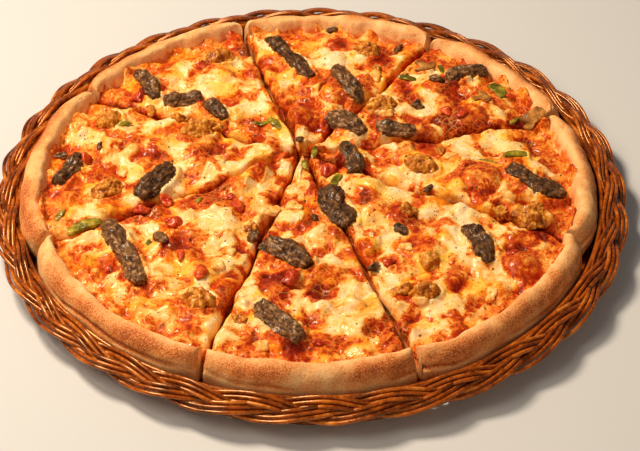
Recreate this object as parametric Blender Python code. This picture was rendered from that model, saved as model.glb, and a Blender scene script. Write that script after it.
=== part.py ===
"""Thick-crust pizza cut in slices, lying in a round wicker tray with a braided rim.

Metres, +Z up. The origin is on the ground under the middle of the tray, and the front is at -Y.
Each slice is three layers that run through it: dough with its raised crust, sauce, and melted cheese.
"""

import math

import bmesh
import bpy
from mathutils import Vector, noise
from mathutils.bvhtree import BVHTree

# Driving dimensions
PIZZA_DIAMETER = 0.327
PIZZA_CENTRE = Vector((-0.001, 0.0))
CUT_HUB = Vector((-0.005, 0.027))
CUT_END_ANGLES = (-160.3, -110.8, -67.9, -17.9, 21.6, 60.3, 105.7, 148.6)
TRAY_DIAMETER = 0.364
GAP = 0.0003

# Heights above the ground
BASE_TOP = 0.0035
DOUGH_BOTTOM = BASE_TOP + GAP
DOUGH_TOP = 0.013
SAUCE_TOP = 0.0148
CHEESE_TOP = 0.0212
CRUST_TOP = 0.0278

# Plan radii from the middle of the pizza
CRUST_RADIUS = PIZZA_DIAMETER / 2
CRUST_FOOT = CRUST_RADIUS - 0.0165
SAUCE_RADIUS = CRUST_FOOT + 0.0012
CHEESE_RADIUS = CRUST_FOOT - 0.0030

# The baked outline is not quite round: wider from side to side, flatter in front, and drawn in at the cuts
SIDE_STRETCH = 0.0013
FRONT_FLATTENING = 0.0015
CORNER_DRAW = 0.0035
CORNER_LENGTH = 0.011

# Cuts
TIP_DISTANCE = 0.0058
HALF_CUT = 0.0011
CUT_WAVE = 0.0005
CUT_NARROWS_WITHIN = 0.03
SLICE_SPREAD = 0.0007
COLUMNS = (0.0, 0.07, 0.18, 0.31, 0.44, 0.56, 0.69, 0.82, 0.93, 1.0)

# Tray
BRAID_LOBES = 30
BRAID_STATIONS = 180
BRAID_HALF_WIDTH = 0.0085
BRAID_HALF_THICKNESS = 0.0034
BRAID_TILT = math.radians(-25)
BRAID_HEIGHT = 0.0162
BRAID_RADIUS = TRAY_DIAMETER / 2 - BRAID_HALF_WIDTH * math.cos(BRAID_TILT)
BRAID_RELIEF = 0.0007
WALL_INNER = 0.167
WALL_LEAN = 0.0008
WALL_THICKNESS = 0.0024
WALL_TOP = 0.0136
BASE_RADIUS = 0.1698
RING_SEGMENTS = 72

# Unevenness of the melted cheese, then its larger domes: x, y, radius, height
CHEESE_SWELL = 0.0016
CHEESE_RIPPLE = 0.0009
CHEESE_DOMES = (
    (0.098, 0.001, 0.016, 0.0066),
    (0.094, 0.060, 0.015, 0.0050),
    (0.014, 0.081, 0.014, 0.0056),
    (-0.019, -0.089, 0.016, 0.0036),
    (0.116, -0.070, 0.014, 0.0034),
    (-0.007, 0.060, 0.013, 0.0052),
    (0.075, 0.090, 0.012, 0.0034),
    (-0.062, -0.020, 0.014, 0.0036),
    (-0.055, 0.095, 0.014, 0.0034),
    (0.052, -0.030, 0.015, 0.0034),
    (-0.030, 0.010, 0.012, 0.0036),
    (-0.100, 0.030, 0.014, 0.0030),
)

# Grilled beef: x, y, length, width, heading in degrees
BEEF = (
    (-0.1025, -0.0625, 0.056, 0.011, -67),
    (-0.1400, 0.0110, 0.026, 0.010, 68),
    (-0.1000, 0.0907, 0.028, 0.010, -63),
    (-0.0770, 0.0764, 0.022, 0.011, 10),
    (-0.0575, 0.0640, 0.019, 0.009, -50),
    (-0.0893, -0.0016, 0.034, 0.014, 61),
    (-0.0135, 0.1175, 0.051, 0.009, -56),
    (0.0224, 0.0883, 0.033, 0.010, -61),
    (0.0209, 0.0520, 0.027, 0.014, -41),
    (0.0500, 0.0460, 0.022, 0.010, -5),
    (0.0230, 0.0200, 0.024, 0.011, -75),
    (0.0152, -0.0227, 0.032, 0.016, -63),
    (-0.0129, -0.0638, 0.032, 0.014, -37),
    (-0.0160, -0.1160, 0.036, 0.014, -50),
    (0.0941, 0.0985, 0.026, 0.009, 21),
    (0.1285, -0.0010, 0.036, 0.012, -36),
    (0.0932, -0.0538, 0.031, 0.011, -69),
)
BEEF_HEIGHT = 0.0062

# Seasoned chicken: x, y, length, width, heading in degrees
CHICKEN = (
    (0.0420, 0.0700, 0.021, 0.016, 30),
    (0.0640, 0.0160, 0.022, 0.017, -20),
    (-0.0660, 0.0470, 0.024, 0.015, 15),
    (0.0349, 0.1260, 0.016, 0.013, 0),
    (-0.1200, 0.0560, 0.020, 0.014, 50),
    (0.1240, -0.0300, 0.025, 0.018, -15),
    (-0.1160, -0.0090, 0.021, 0.014, 35),
    (0.0620, -0.0920, 0.019, 0.014, 10),
    (-0.0590, -0.1000, 0.021, 0.015, -20),
    (-0.0570, 0.1180, 0.020, 0.013, 10),
)
CHICKEN_HEIGHT = 0.0075

# Sweet pepper: x, y, length, width, heading in degrees
PEPPER = (
    (-0.1260, -0.0380, 0.020, 0.0070, 25),
    (0.1120, 0.0850, 0.014, 0.0080, -60),
    (0.1190, 0.0230, 0.014, 0.0055, 10),
    (0.0150, 0.0000, 0.012, 0.0050, 70),
)
PEPPER_HEIGHT = 0.0026

# Mushroom slices lying flat: x, y, cap width, heading in degrees
MUSHROOM = (
    (0.1310, 0.0560, 0.017, 65),
    (0.0690, 0.1100, 0.015, -50),
    (0.1020, 0.0760, 0.013, 20),
)
MUSHROOM_HEIGHT = 0.0024
MUSHROOM_REACH = 0.007


def clear_scene():
    for obj in list(bpy.data.objects):
        bpy.data.objects.remove(obj, do_unlink=True)


def make_material(name, colour, roughness):
    material = bpy.data.materials.new(name)
    material.use_nodes = True
    shader = material.node_tree.nodes["Principled BSDF"]
    shader.inputs["Base Color"].default_value = (*colour, 1.0)
    shader.inputs["Roughness"].default_value = roughness
    shader.inputs["Metallic"].default_value = 0.0
    return material


def smooth_noise(x, y, spread, seed):
    """Even noise of about -1 to 1, with swellings of the size given by spread."""
    return noise.noise(Vector((x / spread, y / spread, seed * 7.31))) * 1.6


def loft(name, sections, material, ring=False):
    """One closed solid through equal closed sections, capped at both ends unless it is a ring."""
    shape = bmesh.new()
    rows = [[shape.verts.new(point) for point in section] for section in sections]
    count = len(rows[0])
    pairs = list(zip(rows, rows[1:]))
    if ring:
        pairs.append((rows[-1], rows[0]))
    for first, second in pairs:
        for k in range(count):
            after = (k + 1) % count
            shape.faces.new((first[k], first[after], second[after], second[k]))
    if not ring:
        shape.faces.new(list(reversed(rows[0])))
        shape.faces.new(rows[-1])
    shape.normal_update()
    bmesh.ops.triangulate(shape, faces=shape.faces[:], quad_method="SHORT_EDGE", ngon_method="EAR_CLIP")
    return finish_mesh(name, shape, material)


def finish_mesh(name, shape, material):
    """Makes the object, with its faces turned outwards."""
    if shape.calc_volume(signed=True) < 0:
        bmesh.ops.reverse_faces(shape, faces=shape.faces[:])
    mesh = bpy.data.meshes.new(name)
    shape.to_mesh(mesh)
    shape.free()
    mesh.materials.append(material)
    mesh.shade_smooth()
    mesh.set_sharp_from_angle(angle=math.radians(50))
    obj = bpy.data.objects.new(name, mesh)
    bpy.context.scene.collection.objects.link(obj)
    return obj


def distance_to_circle(angle, radius):
    """How far from the hub of the cuts a ray at this angle meets a circle about the pizza's middle."""
    way = Vector((math.cos(angle), math.sin(angle)))
    offset = CUT_HUB - PIZZA_CENTRE
    along = offset.dot(way)
    return -along + math.sqrt(along * along - offset.length_squared + radius * radius)


def ring_distance(angle, radius, drawn=0.0):
    """How far from the hub a ray meets the pizza's uneven ring of this radius, drawn in by the cuts."""
    place = CUT_HUB + distance_to_circle(angle, radius) * Vector((math.cos(angle), math.sin(angle)))
    place -= PIZZA_CENTRE
    around = math.atan2(place.y, place.x)
    change = SIDE_STRETCH * math.cos(2 * around) + FRONT_FLATTENING * math.sin(around)
    for end in CUT_END_ANGLES:
        away = (around - math.radians(end) + math.pi) % (2 * math.pi) - math.pi
        change -= drawn * CORNER_DRAW * math.exp(-(away * CRUST_RADIUS / CORNER_LENGTH) ** 2)
    return distance_to_circle(angle, radius + change)


def cut_angle(index):
    """Direction, seen from the hub, of the cut that ends at the given place on the crust."""
    around = math.radians(CUT_END_ANGLES[index % len(CUT_END_ANGLES)])
    end = PIZZA_CENTRE + CRUST_RADIUS * Vector((math.cos(around), math.sin(around)))
    way = end - CUT_HUB
    turns = 2 * math.pi * (index // len(CUT_END_ANGLES))
    return math.atan2(way.y, way.x) + turns


def half_cut(distance, index):
    """Half the width of an uneven cut, which narrows towards the hub, where the tips meet."""
    cut = index % len(CUT_END_ANGLES)
    narrowing = 0.55 + 0.45 * min(1.0, distance / CUT_NARROWS_WITHIN)
    return narrowing * (HALF_CUT + CUT_WAVE * smooth_noise(distance, cut, 0.02, 3))


def slice_point(index, share, distance):
    """Plan position at this share of the way across the slice, this far from the hub."""
    low = cut_angle(index) + math.asin(half_cut(distance, index) / distance)
    high = cut_angle(index + 1) - math.asin(half_cut(distance, index + 1) / distance)
    angle = low + (high - low) * share
    point = CUT_HUB + distance * Vector((math.cos(angle), math.sin(angle)))
    middle = (cut_angle(index) + cut_angle(index + 1)) / 2
    return point + SLICE_SPREAD * Vector((math.cos(middle), math.sin(middle)))


def nominal_angle(index, share):
    return cut_angle(index) + (cut_angle(index + 1) - cut_angle(index)) * share


def layer(name, index, profile_at, material):
    """Lofts a slice's layer through upright sections. A profile lists (distance from the hub, height)."""
    sections = []
    for share in COLUMNS:
        profile = profile_at(nominal_angle(index, share), share)
        section = []
        for distance, height in profile:
            plan = slice_point(index, share, distance)
            section.append((plan.x, plan.y, height))
        sections.append(section)
    return loft(name, sections, material)


def dough_profile(angle, share):
    """Flat base, then the raised crust, down its rounded outside and back along the bottom.

    Crust points list radius, height, how uneven they are, and how far they draw in at the cuts.
    """
    crust = (
        (CRUST_FOOT + 0.0012, DOUGH_TOP + 0.0020, 0.0, 0.0),
        (CRUST_FOOT + 0.0028, DOUGH_TOP + 0.0082, 0.4, 0.0),
        (CRUST_FOOT + 0.0050, CRUST_TOP - 0.0010, 1.0, 0.2),
        (CRUST_FOOT + 0.0088, CRUST_TOP, 1.0, 0.6),
        (CRUST_RADIUS - 0.0035, CRUST_TOP - 0.0028, 1.0, 1.0),
        (CRUST_RADIUS - 0.0007, CRUST_TOP - 0.0085, 1.0, 1.0),
        (CRUST_RADIUS, DOUGH_BOTTOM + 0.0095, 0.6, 1.0),
        (CRUST_RADIUS - 0.0018, DOUGH_BOTTOM + 0.0035, 0.3, 1.0),
        (CRUST_RADIUS - 0.0075, DOUGH_BOTTOM, 0.0, 1.0),
    )
    tip = TIP_DISTANCE
    foot = ring_distance(angle, CRUST_FOOT)
    profile = [(tip, DOUGH_BOTTOM), (tip, DOUGH_TOP), ((tip + foot) / 2, DOUGH_TOP), (foot, DOUGH_TOP)]
    at_cut = 0.0007 if share in (0.0, 1.0) else 0.0
    for radius, height, relief, drawn in crust:
        x, y = math.cos(angle) * radius, math.sin(angle) * radius
        wave = relief * smooth_noise(x, y, 0.022, 1)
        swell = relief * smooth_noise(x, y, 0.035, 2)
        reach = ring_distance(angle, radius + 0.0005 * swell - at_cut * relief, drawn)
        profile.append((reach, height + 0.0010 * wave - at_cut * relief))
    profile.append(((tip + foot) / 2, DOUGH_BOTTOM))
    return profile


def sauce_profile(angle, share):
    """A thin layer on the dough that runs a little way up the foot of the crust."""
    tip = TIP_DISTANCE
    bottom = DOUGH_TOP + GAP
    ring = ring_distance(angle, CHEESE_RADIUS - 0.0045)
    return [
        (tip, bottom),
        (tip, SAUCE_TOP),
        ((tip + ring) / 2, SAUCE_TOP),
        (ring, SAUCE_TOP),
        (ring_distance(angle, CHEESE_RADIUS - 0.0005), SAUCE_TOP + 0.0008),
        (ring_distance(angle, CHEESE_RADIUS + 0.0020), SAUCE_TOP + 0.0018),
        (ring_distance(angle, SAUCE_RADIUS), SAUCE_TOP + 0.0045),
        (ring_distance(angle, CRUST_FOOT - 0.0005), bottom),
        ((tip + ring) / 2, bottom),
    ]


def cheese_height(x, y):
    """Height of the melted cheese: uneven, with domes, thinner towards the crust."""
    radius = (Vector((x, y)) - PIZZA_CENTRE).length
    height = CHEESE_TOP
    height += CHEESE_SWELL * smooth_noise(x, y, 0.030, 4) + CHEESE_RIPPLE * smooth_noise(x, y, 0.016, 5)
    for dome_x, dome_y, size, rise in CHEESE_DOMES:
        away = ((x - dome_x) ** 2 + (y - dome_y) ** 2) / (size * size)
        height += rise * math.exp(-away * 1.4)
    edge = max(0.0, min(1.0, (radius - CHEESE_RADIUS + 0.018) / 0.018))
    return height - 0.0014 * edge * edge


def cheese_profile(angle, share):
    """Sauce level underneath, and the uneven melted surface on top, rounded over at the cuts."""
    tip = TIP_DISTANCE
    bottom = SAUCE_TOP + GAP
    ring = ring_distance(angle, CHEESE_RADIUS - 0.0045)
    wander = 0.0016 * smooth_noise(math.cos(angle), math.sin(angle), 0.16, 6)
    edge = ring_distance(angle, CHEESE_RADIUS + wander)
    drop = {0.0: 0.0022, 1.0: 0.0022}.get(share, 0.0)
    profile = [(tip, bottom)]
    steps = 9
    for step in range(steps + 1):
        distance = tip + (edge - 0.0012 - tip) * step / steps
        x = CUT_HUB.x + distance * math.cos(angle)
        y = CUT_HUB.y + distance * math.sin(angle)
        at_tip = 0.0016 if step == 0 else 0.0
        profile.append((distance, cheese_height(x, y) - drop - at_tip))
    profile.append((edge, SAUCE_TOP + 0.0026))
    profile.append((ring, bottom))
    profile.append(((tip + ring) / 2, bottom))
    return profile


def make_slices():
    dough = make_material("baked dough", (0.62, 0.32, 0.11), 0.7)
    sauce = make_material("tomato sauce", (0.55, 0.08, 0.02), 0.35)
    cheese = make_material("melted cheese", (0.85, 0.55, 0.2), 0.35)
    surfaces = []
    for index in range(len(CUT_END_ANGLES)):
        number = index + 1
        surfaces.append(layer(f"dough_{number}", index, dough_profile, dough))
        surfaces.append(layer(f"sauce_{number}", index, sauce_profile, sauce))
        surfaces.append(layer(f"cheese_{number}", index, cheese_profile, cheese))
    return surfaces


def surface_finder(objects):
    """Gives a function for the highest food surface within a small distance of a point."""
    trees = []
    for obj in objects:
        points = [vertex.co.copy() for vertex in obj.data.vertices]
        faces = [tuple(face.vertices) for face in obj.data.polygons]
        trees.append(BVHTree.FromPolygons(points, faces))
    high = 0.1

    def height(x, y, reach=0.0030):
        found = []
        tests = [(x, y)]
        for step in range(8):
            turn = step * math.pi / 4
            tests.append((x + reach * math.cos(turn), y + reach * math.sin(turn)))
        for test_x, test_y in tests:
            for tree in trees:
                hit = tree.ray_cast(Vector((test_x, test_y, high)), Vector((0, 0, -1)))[0]
                if hit is not None:
                    found.append(hit.z)
        return max(found) if found else CHEESE_TOP

    return height


def laid_section(place, across, surface, outline, level):
    """One cross-section of a piece: outline lists (sideways, height), where 0 lies on the food."""
    section = []
    for side, up in outline:
        point = place + across * side
        if up == 0.0:
            height = surface(point.x, point.y) + 1.5 * GAP
        else:
            height = max(level + up, surface(point.x, point.y) + 1.5 * GAP + 0.25 * up)
        section.append((point.x, point.y, height))
    return section


def make_beef(surface):
    material = make_material("grilled beef", (0.11, 0.06, 0.03), 0.6)
    for number, (x, y, length, width, heading) in enumerate(BEEF, 1):
        along = Vector((math.cos(math.radians(heading)), math.sin(math.radians(heading))))
        across = Vector((-along.y, along.x))
        stations = max(4, round(length / 0.006))
        sections = []
        for step in range(stations + 1):
            share = step / stations
            bow = 0.0012 * math.sin(math.pi * share) * (1 if number % 2 else -1)
            place = Vector((x, y)) + along * (share - 0.5) * length + across * bow
            end = 0.62 if step in (0, stations) else 1.0
            half = width / 2 * end * (1 + 0.14 * smooth_noise(step, number, 1.7, 7))
            tall = BEEF_HEIGHT * (0.55 + 0.45 * end) * (1 + 0.16 * smooth_noise(step, number, 1.3, 8))
            level = surface(place.x, place.y)
            outline = (
                (-half * 0.84, 0.0),
                (0.0, 0.0),
                (half * 0.84, 0.0),
                (half, tall * 0.5),
                (half * 0.6, tall),
                (-half * 0.5, tall * 0.94),
                (-half, tall * 0.46),
            )
            sections.append(laid_section(place, across, surface, outline, level))
        loft(f"beef_{number}", sections, material)


def make_chicken(surface):
    material = make_material("seasoned chicken", (0.5, 0.24, 0.06), 0.5)
    for number, (x, y, length, width, heading) in enumerate(CHICKEN, 1):
        shape = bmesh.new()
        bmesh.ops.create_icosphere(shape, subdivisions=2, radius=1.0)
        turn = math.radians(heading)
        level = surface(x, y)
        for vertex in shape.verts:
            lump = 1 + 0.16 * noise.noise(vertex.co * 1.4 + Vector((number * 3.7, 0, 0)))
            local_x = vertex.co.x * length / 2 * lump
            local_y = vertex.co.y * width / 2 * lump
            place_x = x + local_x * math.cos(turn) - local_y * math.sin(turn)
            place_y = y + local_x * math.sin(turn) + local_y * math.cos(turn)
            resting = surface(place_x, place_y) + GAP
            if vertex.co.z < -0.1:
                height = resting
            else:
                height = max(level + CHICKEN_HEIGHT * max(vertex.co.z, 0.12) * lump, resting + 0.0012)
            vertex.co = (place_x, place_y, height)
        finish_mesh(f"chicken_{number}", shape, material)


def make_peppers(surface):
    material = make_material("sweet pepper", (0.3, 0.33, 0.06), 0.35)
    for number, (x, y, length, width, heading) in enumerate(PEPPER, 1):
        along = Vector((math.cos(math.radians(heading)), math.sin(math.radians(heading))))
        across = Vector((-along.y, along.x))
        sections = []
        stations = 4
        for step in range(stations + 1):
            share = step / stations
            bow = 0.22 * width * math.sin(math.pi * share)
            place = Vector((x, y)) + along * (share - 0.5) * length + across * bow
            half = width / 2 * (0.7 if step in (0, stations) else 1.0)
            outline = ((-half, 0.0), (half, 0.0), (half * 0.9, PEPPER_HEIGHT), (-half * 0.9, PEPPER_HEIGHT))
            sections.append(laid_section(place, across, surface, outline, surface(place.x, place.y)))
        loft(f"pepper_{number}", sections, material)


def mushroom_outline(width):
    """Half-round cap with a straight stem, as (along, across) points."""
    cap = []
    steps = 8
    for step in range(steps + 1):
        turn = math.pi * step / steps
        cap.append((math.sin(turn) * width * 0.42, math.cos(turn) * width / 2))
    stem = width * 0.15
    end = -width * 0.42
    return cap + [(-width * 0.02, -stem), (end, -stem * 1.1), (end, stem * 1.1), (-width * 0.02, stem)]


def make_mushrooms(surface):
    material = make_material("mushroom", (0.45, 0.26, 0.12), 0.5)
    for number, (x, y, width, heading) in enumerate(MUSHROOM, 1):
        along = Vector((math.cos(math.radians(heading)), math.sin(math.radians(heading))))
        across = Vector((-along.y, along.x))
        lower, upper = [], []
        for forward, side in mushroom_outline(width):
            place = Vector((x, y)) + along * forward + across * side
            height = surface(place.x, place.y, MUSHROOM_REACH) + GAP
            lower.append((place.x, place.y, height))
            upper.append((place.x, place.y, height + MUSHROOM_HEIGHT))
        loft(f"mushroom_{number}", [lower, upper], material)


def braid_section(turn):
    """Flat oval across the rim, tilted down outwards, with the lobes and ridges of the plait."""
    section = []
    points = 10
    wave = turn * BRAID_LOBES
    for step in range(points):
        around = 2 * math.pi * step / points
        across, up = math.cos(around), math.sin(around)
        lobe = math.cos(wave) if across > 0 else -math.cos(wave)
        half_width = BRAID_HALF_WIDTH + BRAID_RELIEF * (lobe - 1) * abs(across)
        ridge = math.cos(wave - 2.4 * across)
        side = across * half_width
        rise = up * (BRAID_HALF_THICKNESS + BRAID_RELIEF * ridge * abs(up))
        radius = BRAID_RADIUS + side * math.cos(BRAID_TILT) - rise * math.sin(BRAID_TILT)
        height = BRAID_HEIGHT + side * math.sin(BRAID_TILT) + rise * math.cos(BRAID_TILT)
        section.append((radius * math.cos(turn), radius * math.sin(turn), height))
    return section


def make_tray():
    """A flat round base with a low wall turned up from it, and the braid lying along the wall's top."""
    wicker = make_material("varnished wicker", (0.42, 0.16, 0.04), 0.35)
    chamfer = 0.0009
    turned = (
        (BASE_RADIUS - chamfer, 0.0),
        (BASE_RADIUS, chamfer),
        (WALL_INNER + WALL_LEAN + WALL_THICKNESS, WALL_TOP),
        (WALL_INNER + WALL_LEAN, WALL_TOP),
        (WALL_INNER, BASE_TOP),
    )
    body = bmesh.new()
    turns = [2 * math.pi * step / RING_SEGMENTS for step in range(RING_SEGMENTS)]
    rows = []
    for radius, height in turned:
        rows.append([body.verts.new((radius * math.cos(a), radius * math.sin(a), height)) for a in turns])
    for lower, upper in zip(rows, rows[1:]):
        for k in range(RING_SEGMENTS):
            after = (k + 1) % RING_SEGMENTS
            body.faces.new((lower[k], lower[after], upper[after], upper[k]))
    body.faces.new(list(reversed(rows[0])))
    body.faces.new(rows[-1])
    finish_mesh("tray_body", body, wicker)
    sections = [braid_section(2 * math.pi * step / BRAID_STATIONS) for step in range(BRAID_STATIONS)]
    loft("braided_rim", sections, wicker, ring=True)


def main():
    clear_scene()
    make_tray()
    surface = surface_finder(make_slices())
    make_beef(surface)
    make_chicken(surface)
    make_peppers(surface)
    make_mushrooms(surface)


main()
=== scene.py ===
import itertools
import math

import bmesh
import bpy
import numpy as np
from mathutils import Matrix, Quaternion, Vector, kdtree, noise
from mathutils.bvhtree import BVHTree


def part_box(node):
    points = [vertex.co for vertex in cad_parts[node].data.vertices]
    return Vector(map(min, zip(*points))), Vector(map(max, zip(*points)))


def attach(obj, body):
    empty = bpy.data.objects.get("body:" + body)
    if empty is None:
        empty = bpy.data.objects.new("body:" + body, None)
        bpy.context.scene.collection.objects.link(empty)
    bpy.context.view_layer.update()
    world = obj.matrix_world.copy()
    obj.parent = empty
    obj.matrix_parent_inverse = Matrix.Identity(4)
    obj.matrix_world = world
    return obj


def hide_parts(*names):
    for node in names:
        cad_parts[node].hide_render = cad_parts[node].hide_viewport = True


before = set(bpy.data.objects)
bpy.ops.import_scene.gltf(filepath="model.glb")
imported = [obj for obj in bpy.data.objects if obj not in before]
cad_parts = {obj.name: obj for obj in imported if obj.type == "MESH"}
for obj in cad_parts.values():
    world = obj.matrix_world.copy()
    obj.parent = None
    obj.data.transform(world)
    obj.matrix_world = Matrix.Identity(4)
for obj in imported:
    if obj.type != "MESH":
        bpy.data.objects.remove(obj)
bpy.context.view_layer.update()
print("frame loaded with", len(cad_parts), "nodes")

# Camera at the photograph's angle: metres, degrees, and a lens in mm on a 36 mm sensor
viewpoint = {
    "place": (0.00548, -0.90863, 0.78485),
    "target": (0.00548, -0.02810, 0.01400),
    "roll": 0.15,
    "lens": 116.4,
    "sensor": 36.0,
}


def newObject(name, data):
    made = bpy.data.objects.new(name, data)
    bpy.context.scene.collection.objects.link(made)
    return made


def makeCamera():
    lens = bpy.data.cameras.new("camera")
    lens.sensor_fit = "HORIZONTAL"
    lens.sensor_width = viewpoint["sensor"]
    lens.lens = viewpoint["lens"]
    camera = newObject("camera", lens)
    place = Vector(viewpoint["place"])
    aim = (Vector(viewpoint["target"]) - place).to_track_quat("-Z", "Y")
    turn = aim @ Quaternion((0, 0, 1), math.radians(viewpoint["roll"]))
    camera.location = place
    camera.rotation_euler = turn.to_euler()
    bpy.context.scene.camera = camera


makeCamera()
print("camera placed")


# Smooth noise on whole arrays of points, from one fixed lattice
lattice = np.random.default_rng(41).permutation(256)
lattice = np.concatenate([lattice, lattice])
slopes = [step for step in itertools.product((-1, 0, 1), repeat=3) if np.abs(step).sum() == 2]
slopes = np.array(slopes, float)
seedStep = 17.31                # keeps the noise of two seeds apart
noiseGain = 1.5                 # brings it to about -1 to 1


def softNoise(points, size, seed=0):
    spot = np.asarray(points, float) / size + seed * seedStep
    cell = np.floor(spot).astype(int)
    part = spot - cell
    fade = part ** 3 * (part * (part * 6 - 15) + 10)
    total = np.zeros(len(spot))
    for corner in itertools.product((0, 1), repeat=3):
        offset = np.array(corner)
        key = (cell + offset) & 255
        key = lattice[lattice[lattice[key[:, 0]] + key[:, 1]] + key[:, 2]]
        weight = np.prod(np.where(offset == 1, fade, 1 - fade), axis=1)
        total += weight * ((part - offset) * slopes[key % len(slopes)]).sum(axis=1)
    return total * noiseGain


def layeredNoise(points, layers):   # each layer is an amount, a size and a seed
    return sum(amount * softNoise(points, size, seed) for amount, size, seed in layers)


def onPlan(x, y):
    return np.stack([x, y, np.zeros_like(x)], axis=-1)


def onRing(angles, radius):
    return onPlan(np.cos(angles) * radius, np.sin(angles) * radius)

def rise(low, high, value):     # 0 below low, 1 above high, smooth between
    share = np.clip((value - low) / (high - low), 0, 1)
    return share * share * (3 - 2 * share)


# Rounded lumps of uneven size laid out on a loose grid: height from 0 to 1, and a random number for each lump
def lumpField(x, y, size, seed):
    total = np.zeros_like(x)
    highest = np.zeros_like(x)
    draw = np.zeros_like(x)
    cellX = np.floor(x / size).astype(int)
    cellY = np.floor(y / size).astype(int)
    for stepX, stepY in itertools.product((-1, 0, 1), repeat=2):
        first = lattice[(lattice[(cellX + stepX + seed * 13) & 255] + cellY + stepY) & 255]
        second = lattice[(first + 57) & 255]
        third = lattice[(second + 101) & 255]
        middleX = (cellX + stepX + 0.5 + 0.7 * (first / 255 - 0.5)) * size
        middleY = (cellY + stepY + 0.5 + 0.7 * (second / 255 - 0.5)) * size
        reach = size * (0.55 + 0.4 * third / 255)
        away = ((x - middleX) ** 2 + (y - middleY) ** 2) / reach ** 2
        here = np.clip(1 - away, 0, 1) ** 1.5 * (0.25 + 0.75 * second / 255)
        draw = np.where(here > highest, first / 255, draw)
        highest = np.maximum(highest, here)
        total += here ** 3
    return total ** (1 / 3), draw


# The same noise as the solids use, so that the surfaces agree with them
def partNoise(x, y, spread, seed):
    values = [noise.noise(Vector((a / spread, b / spread, seed * 7.31))) for a, b in zip(x, y)]
    return np.array(values) * 1.6


# Shader helpers
def paint(red, green, blue):    # from everyday 0 to 255 values
    shares = [value / 255 for value in (red, green, blue)]
    return (*[s / 12.92 if s <= 0.04045 else ((s + 0.055) / 1.055) ** 2.4 for s in shares], 1.0)


def fill(tree, node, values):   # links or sets each input that is named
    for key, value in values.items():
        if isinstance(value, bpy.types.NodeSocket):
            tree.links.new(value, node.inputs[key])
        else:
            node.inputs[key].default_value = value


def put(tree, kind, values=None, **settings):
    made = tree.nodes.new(kind)
    for key, value in settings.items():
        setattr(made, key, value)
    fill(tree, made, values or {})
    return made


def calc(tree, operation, first, second=0.0, third=0.0, clamp=False):
    values = {0: first, 1: second, 2: third}
    return put(tree, "ShaderNodeMath", values, operation=operation, use_clamp=clamp).outputs[0]


def plus(tree, first, second):
    return calc(tree, "ADD", first, second)


def times(tree, first, second):
    return calc(tree, "MULTIPLY", first, second)


def vectorCalc(tree, operation, values):
    return put(tree, "ShaderNodeVectorMath", values, operation=operation).outputs[0]


def swing(tree, value, size):   # a value from 0 to 1 made to swing evenly about 0
    return calc(tree, "MULTIPLY_ADD", value, size, -size / 2)


def blend(tree, factor, first, second):
    return put(tree, "ShaderNodeMix", {0: factor, 6: first, 7: second}, data_type="RGBA").outputs[2]


def overlay(tree, colour, mask, amount, over):  # another colour laid over where the mask says
    return blend(tree, times(tree, mask, amount), colour, over)


def grain(tree, place, scale, detail, apart=None, **more):      # each value of apart has noise of its own
    values = {"Vector": place, "Scale": scale, "Detail": detail, **more}
    if apart is not None:
        values["W"] = apart
    dimensions = "3D" if apart is None else "4D"
    return put(tree, "ShaderNodeTexNoise", values, noise_dimensions=dimensions).outputs["Fac"]


def spread(tree, value, low, high, toLow=0.0, toHigh=1.0, soft=True):
    settings = {"interpolation_type": "SMOOTHSTEP" if soft else "LINEAR"}
    values = {"Value": value, "From Min": low, "From Max": high, "To Min": toLow, "To Max": toHigh}
    return put(tree, "ShaderNodeMapRange", values, **settings).outputs["Result"]


def colourRamp(tree, factor, stops):
    ramp = put(tree, "ShaderNodeValToRGB", {"Fac": factor})
    elements = ramp.color_ramp.elements
    while len(elements) < len(stops):
        elements.new(0.5)
    for element, (position, colour) in zip(elements, stops):
        element.position = position
        element.color = paint(*colour)
    return ramp.outputs["Color"]


def stored(tree, name):
    return put(tree, "ShaderNodeAttribute", attribute_name=name).outputs["Fac"]


def newMaterial(name):
    material = bpy.data.materials.new(name)
    material.use_nodes = True
    tree = material.node_tree
    return material, tree, tree.nodes["Principled BSDF"]


def newGroup(name, inputs, outputs):
    tree = bpy.data.node_groups.new(name, "ShaderNodeTree")
    tree.interface.new_socket("Vector", in_out="INPUT", socket_type="NodeSocketVector")
    for label, value in inputs.items():
        socket = tree.interface.new_socket(label, in_out="INPUT", socket_type="NodeSocketFloat")
        socket.default_value = value
    for label in outputs:
        kind = "NodeSocketVector" if label == "Pushed" else "NodeSocketFloat"
        tree.interface.new_socket(label, in_out="OUTPUT", socket_type=kind)
    return tree, tree.nodes.new("NodeGroupInput"), tree.nodes.new("NodeGroupOutput")


# Uneven mottling at three sizes, each from 0 to 1, on coordinates that are pushed about a little
mottling = {
    "sway": (110.0, 2.0),       # scale and detail of each noise
    "Broad": (45.0, 3.0),
    "Middle": (170.0, 4.0),
    "Fine": (700.0, 3.0),
    "range": (0.32, 0.68),      # the part of the noise that is stretched to 0 and 1
}


def makeMottle():
    labels = ("Broad", "Middle", "Fine", "Pushed")
    tree, given, result = newGroup("mottle", {"Scale": 1.0, "Push": 0.004}, labels)
    place = given.outputs["Vector"]
    scale, detail = mottling["sway"]
    sway = put(tree, "ShaderNodeTexNoise", {"Vector": place, "Scale": scale, "Detail": detail})
    push = vectorCalc(tree, "SUBTRACT", {0: sway.outputs["Color"], 1: (0.5, 0.5, 0.5)})
    push = vectorCalc(tree, "SCALE", {0: push, "Scale": given.outputs["Push"]})
    moved = vectorCalc(tree, "ADD", {0: place, 1: push})
    sized = vectorCalc(tree, "SCALE", {0: moved, "Scale": given.outputs["Scale"]})
    for label in labels[:3]:
        tone = spread(tree, grain(tree, sized, *mottling[label]), *mottling["range"], soft=False)
        tree.links.new(tone, result.inputs[label])
    tree.links.new(sized, result.inputs["Pushed"])
    return tree


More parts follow.
